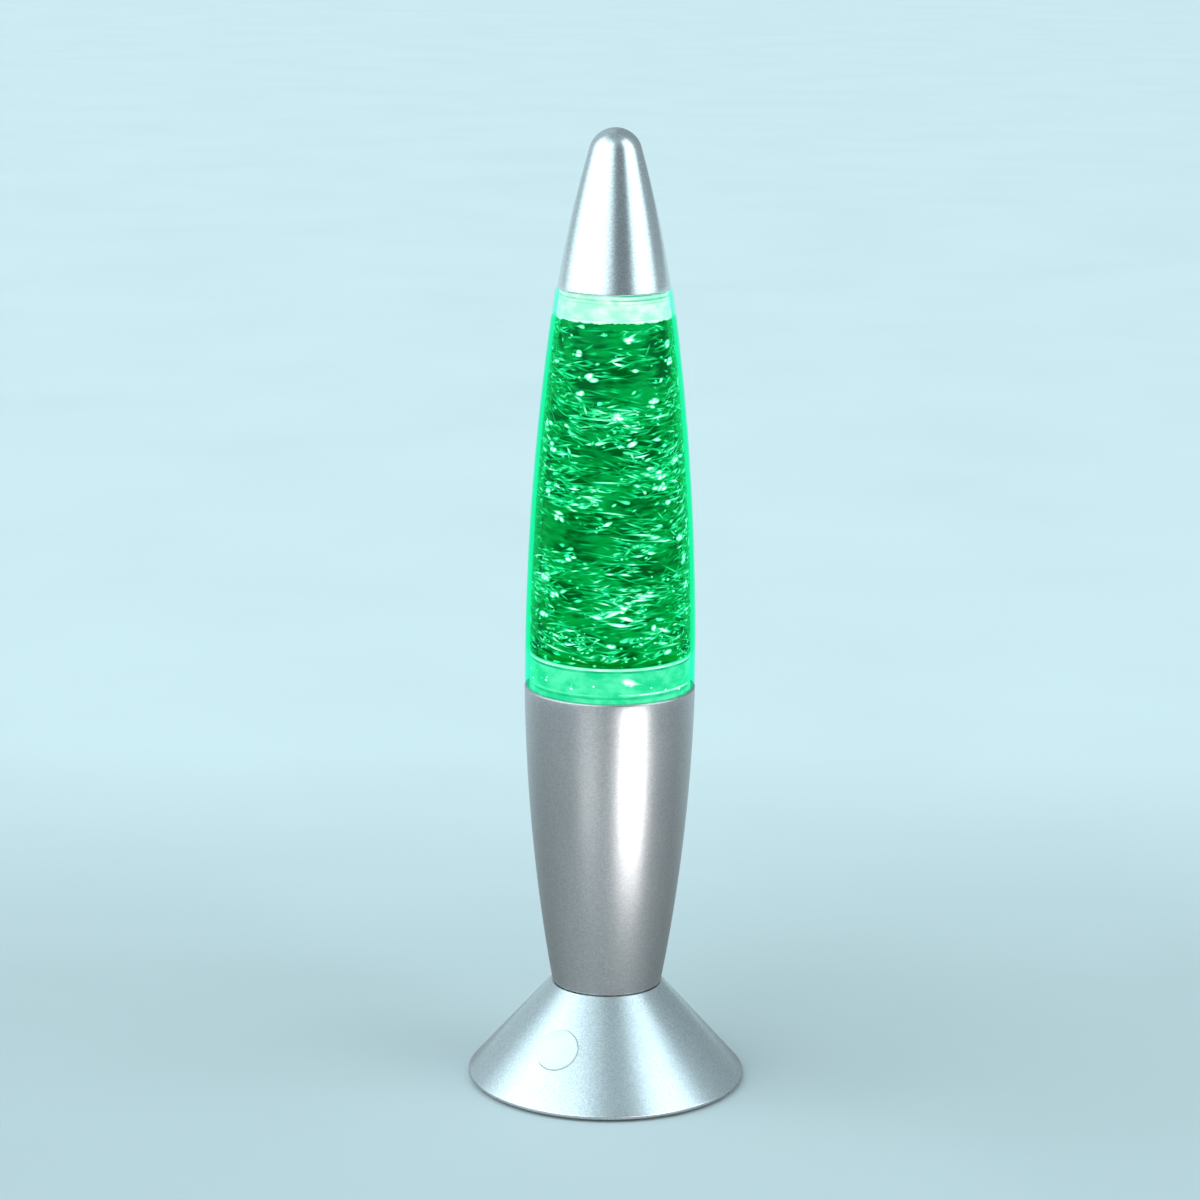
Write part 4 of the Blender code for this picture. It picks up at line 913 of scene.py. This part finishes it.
def make_base():
    """The cone and its spigot, then the button's guide and hole, the screw holes and the bosses inside."""
    _, low, top = extent("base_shell")
    radius, lip, slope = cone_face()
    across = CAST_WALL * math.hypot(1, slope)
    rim_inner, spigot_inner = radius - 1.8 * MM, SPIGOT_RADIUS - 1.4 * MM
    shoulder = NECK_Z - CAST_WALL
    inner_lip = lip + (radius - across - rim_inner) / slope
    inner_top = radius - (shoulder - lip) * slope - across
    outline = [(rim_inner, low, 0.4 * MM), (radius, low, 0.5 * MM), (radius, lip, 0.8 * MM)]
    outline += [(NECK_RADIUS, NECK_Z, 0.3 * MM), (SPIGOT_RADIUS, NECK_Z), (SPIGOT_RADIUS, top, 0.4 * MM)]
    outline += [(CENTRE_HOLE, top), (CENTRE_HOLE, top - CAST_WALL), (spigot_inner, top - CAST_WALL)]
    outline += [(spigot_inner, shoulder), (inner_top, shoulder), (rim_inner, inner_lip)]
    paint = silver_paint("base_paint", (0.7, 0.735, 0.75), 0.27, [(low, 0.7 * MM), (NECK_Z, 0.6 * MM)])
    base = turned("base_cone", outline, paint, "base", ["base_shell"])

    place = button_place()
    guide, hole, bore = bmesh.new(), bmesh.new(), bmesh.new()
    add_rod(guide, GUIDE_RADIUS, -10.3 * MM, -1.2 * MM, sides=64)
    add_rod(hole, BUTTON_HOLE, -4 * MM, 4 * MM, sides=96)
    add_rod(bore, GUIDE_BORE, -11.3 * MM, -2.5 * MM, sides=64)
    for mesh, operation in ((guide, "UNION"), (hole, "DIFFERENCE"), (bore, "DIFFERENCE")):
        mesh.transform(place)
        cut_with(base, mesh, operation)
    holes = bmesh.new()
    for angle in TRIO_ANGLES:
        add_rod(holes, SCREW_HOLE, top - 2.6 * MM, top + 1 * MM, on_circle(SCREW_CIRCLE, angle))
    cut_with(base, holes)
    bosses = bmesh.new()
    boss, thread = 3 * MM, 1.4 * MM
    foot, blind, roof = 6.5 * MM, 11 * MM, 11.5 * MM
    outline = [(thread, foot), (boss, foot), (boss, roof), (0, roof), (0, blind), (thread, blind)]
    for angle in TRIO_ANGLES:
        spin(bosses, outline, 32, on_circle(BOSS_CIRCLE, angle))
    cut_with(base, bosses, "UNION")


def make_button():
    """The button's disc, with a low dome and a soft edge."""
    pale = plastic("button_plastic", (0.88, 0.92, 0.92), 0.22, 0.01 * MM, 1500)
    flange, foot, ledge = 8.2 * MM, -3.5 * MM, -2.8 * MM
    outline = [(0, foot), (flange, foot, 0.2 * MM), (flange, ledge, 0.2 * MM), (BUTTON_RADIUS, ledge)]
    outline += [(BUTTON_RADIUS, BUTTON_DOME * 0.55, 0.35 * MM)]
    for share in (0.85, 0.7, 0.5, 0.3, 0.15):
        outline.append((BUTTON_RADIUS * share, BUTTON_DOME * (1 - 0.45 * share**2)))
    mesh = bmesh.new()
    spin(mesh, rounded([*outline, (0, BUTTON_DOME)]), 96)
    mesh.transform(button_place())
    button = finish_mesh("button_disc", mesh, pale)
    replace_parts(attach(button, "button"), "button")


# ---------------------------------------------------------------- what shows when the lamp is apart


def make_inner_rounds():
    """Fine versions of the round pieces under the bottle, on the bottle and under the base."""
    black = plastic("moulded_black", (0.022, 0.022, 0.024), 0.45)
    white = plastic("moulded_white", (0.75, 0.77, 0.74), 0.35)
    rubber = plastic("soft_rubber", (0.018, 0.018, 0.018), 0.75, 0.05 * MM, 1400)
    soft = 0.25 * MM

    radius, low, high = extent("magnet_carrier")
    hub, deck = 2.6 * MM, low + 2 * MM
    outline = [(SHAFT_BORE, low), (hub, low, soft), (hub, deck), (radius, deck, soft)]
    outline += [(radius, high, soft), (SHAFT_BORE, high)]
    carrier = turned("rotor_disc", outline, white, "rotor", ["magnet_carrier"], INNER_SIDES)
    pockets = bmesh.new()
    for side in (-1, 1):
        add_rod(pockets, MAGNET_POCKET, deck + 1 * MM, high + 1 * MM, (side * MAGNET_PLACE, 0), 48)
    cut_with(carrier, pockets)

    radius, low, high = extent("filler_stopper")
    stem, flange, dish = 4.2 * MM, high - 1.7 * MM, high - 0.4 * MM
    outline = [(0, low), (stem, low, soft), (stem, flange), (radius, flange, soft)]
    outline += [(radius - 0.3 * MM, high, 0.5 * MM), (3.0 * MM, high, soft), (2.7 * MM, dish, soft)]
    outline += [(0, dish)]
    stopper = turned("stopper", outline, rubber, "bottle", ["filler_stopper"], INNER_SIDES)

    for number in (1, 2, 3, 4):
        name = f"foot_{number}"
        low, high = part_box(name)
        centre, radius = (low + high) / 2, (high.x - low.x) / 2
        outline = [(0, 0.2 * MM), (radius * 0.55, 0.2 * MM), (radius * 0.62, 0), (radius, 0, 0.35 * MM)]
        outline += [(radius, high.z, soft), (0, high.z)]
        foot = turned(f"foot_pad_{number}", outline, rubber, "base", [name], 64, (centre.x, centre.y))
    return black, white, rubber


def dress_cad_nodes(black, white, rubber):
    """Gives every carried-over CAD node its finish, by the record's slots."""
    steel = metal("plated_steel", (0.6, 0.6, 0.58), 0.28)
    finishes = {
        "black_plastic": black,
        "white_plastic": white,
        "black_rubber": rubber,
        "steel": steel,
        "magnet": metal("magnet_plating", (0.4, 0.4, 0.42), 0.3, (1, 1, 1)),
        "copper": windings(),
        "circuit_board": circuit_board(),
        "led_lens": led_lens(),
        "red_wire": plastic("red_insulation", (0.5, 0.02, 0.02), 0.35, 0.01 * MM),
        "black_wire": plastic("black_insulation", (0.02, 0.02, 0.022), 0.35, 0.01 * MM),
    }
    slots = {part["node"]: part["material_slot"] for part in frame["record"]["subparts"]}
    for name, thing in frame["nodes"].items():
        if thing.hide_render:
            continue
        if slots[name] == "cell_wrap":
            finish = cell_sleeve(name + "_wrap", -1 if name == "battery_2" else 1)
        else:
            finish = finishes[slots[name]]
        thing.data.materials.clear()
        thing.data.materials.append(finish)


# ---------------------------------------------------------------- the studio


def make_floor():
    """A pale floor, darker in front of the lamp as painted shade. The silver mirrors a painted darker floor
    near the lamp instead, with a painted pool of light before it.
    """
    material, tree, shader = new_material("pale_floor", Roughness=0.6)
    shade = remap(tree, noise_value(tree, 6, 3), (0.3, 0.7), (0.98, 1.02))
    far = remap(tree, coordinate(tree, "Y"), (0.1, 0.42), (0, 1))
    offset = node(tree, "VectorMath", {0: position(tree), 1: (-0.02, -0.2, 0)}, operation="DISTANCE")
    # painted pool of light before the lamp, seen only in what the silver mirrors
    light_pool = remap(tree, offset.outputs["Value"], (0.05, 0.24), (1, 0))
    mirrored = blend_colour(tree, light_pool, MIRRORED_SHADE, MIRRORED_LIGHT_POOL)
    seen = node(tree, "LightPath").outputs["Is Camera Ray"]
    near = blend_colour(tree, seen, mirrored, FLOOR_NEAR)
    colour = blend_colour(tree, far, near, FLOOR_FAR)
    set_input(tree, shader.inputs["Base Color"], scaled_colour(tree, colour, shade))
    mesh = bmesh.new()
    bmesh.ops.create_circle(mesh, cap_ends=True, segments=96, radius=FLOOR_RADIUS)
    data = bpy.data.meshes.new("floor")
    mesh.to_mesh(data)
    mesh.free()
    add_object("floor", data, material)


def sky_box(tree, azimuth, elevation, box):
    """The light of one soft box painted on the world: its middle, half sizes and soft edge in degrees."""
    middle, height, wide, tall, edge, strength = box
    turn = maths(tree, "SUBTRACT", azimuth, math.radians(middle))
    turn = maths(tree, "ABSOLUTE", maths(tree, "WRAP", turn, -math.pi, math.pi))
    rise = maths(tree, "ABSOLUTE", maths(tree, "SUBTRACT", elevation, math.radians(height)))
    sides = remap(tree, turn, (math.radians(wide - edge), math.radians(wide + edge)), (1, 0))
    ends = remap(tree, rise, (math.radians(tall - edge), math.radians(tall + edge)), (strength, 0))
    return maths(tree, "MULTIPLY", sides, ends)


def make_world():
    """A dim room with soft boxes round the lamp. The camera itself sees a plain pale room.

    A box is (azimuth, elevation, half width, half height, edge, light), with azimuth 0 in front and 90 on
    the right. One with less than no light darkens the room.
    """
    boxes = (
        (-63, 24, 50, 34, 14, 1.6),
        (67, 25, 25, 34, 8, 1.5),
        (20, 12, 21, 34, 10, -0.22),
        (-150, 30, 28, 40, 12, 0.22),
        (180, 40, 70, 50, 20, -0.1),
    )
    world = bpy.data.worlds.new("studio")
    bpy.context.scene.world = world
    world.use_nodes = True
    tree = world.node_tree
    way = node(tree, "SeparateXYZ", {"Vector": node(tree, "TexCoord").outputs["Generated"]})
    azimuth = maths(tree, "ARCTAN2", way.outputs["X"], maths(tree, "MULTIPLY", way.outputs["Y"], -1.0))
    elevation = maths(tree, "ARCSINE", way.outputs["Z"])
    total = ROOM_LIGHT
    for box in boxes:
        total = maths(tree, "ADD", total, sky_box(tree, azimuth, elevation, box))
    seen = node(tree, "LightPath").outputs["Is Camera Ray"]
    light = scaled_colour(tree, (0.78, 1.0, 1.08), total)
    background = tree.nodes["Background"]
    set_input(tree, background.inputs["Color"], blend_colour(tree, seen, light, (0.61, 0.83, 0.88)))


def panel(name, place, target, size, power, spread=180.0):
    """A soft rectangular light that the camera doesn't see."""
    light = bpy.data.lights.new(name, "AREA")
    light.shape = "RECTANGLE"
    light.size, light.size_y = size
    light.energy = power
    light.spread = math.radians(spread)
    lamp = bpy.data.objects.new(name, light)
    lamp.location = place
    lamp.rotation_mode = "QUATERNION"
    lamp.rotation_quaternion = (Vector(place) - Vector(target)).to_track_quat("Z", "Y")
    lamp.visible_camera = False
    bpy.context.scene.collection.objects.link(lamp)


def make_studio():
    make_world()
    panel("low_right", (0.106, -0.178, 0.044), (0, -0.02, 0.11), (0.13, 0.11), 0.05, 80)
    panel("low_left", (-0.1, -0.2, 0.044), (0, -0.02, 0.11), (0.1, 0.1), 0.0046, 80)
    view = bpy.context.scene.view_settings
    view.view_transform = "Standard"
    view.look = "None"


def make_camera():
    camera = bpy.data.cameras.new("camera")
    camera.lens = CAMERA_LENS
    camera.sensor_width = 36
    holder = bpy.data.objects.new("camera", camera)
    holder.location = CAMERA_PLACE
    tilt = Matrix.Rotation(math.pi / 2 - CAMERA_PITCH, 4, "X") @ Matrix.Rotation(CAMERA_ROLL, 4, "Z")
    holder.rotation_mode = "QUATERNION"
    holder.rotation_quaternion = tilt.to_quaternion()
    bpy.context.scene.collection.objects.link(holder)
    bpy.context.scene.camera = holder


def main():
    make_cap()
    make_bottle()
    make_liquid()
    make_glitter()
    make_plugs()
    make_sleeve()
    make_base()
    make_button()
    black, white, rubber = make_inner_rounds()
    dress_cad_nodes(black, white, rubber)
    make_floor()
    make_studio()
    make_camera()


main()
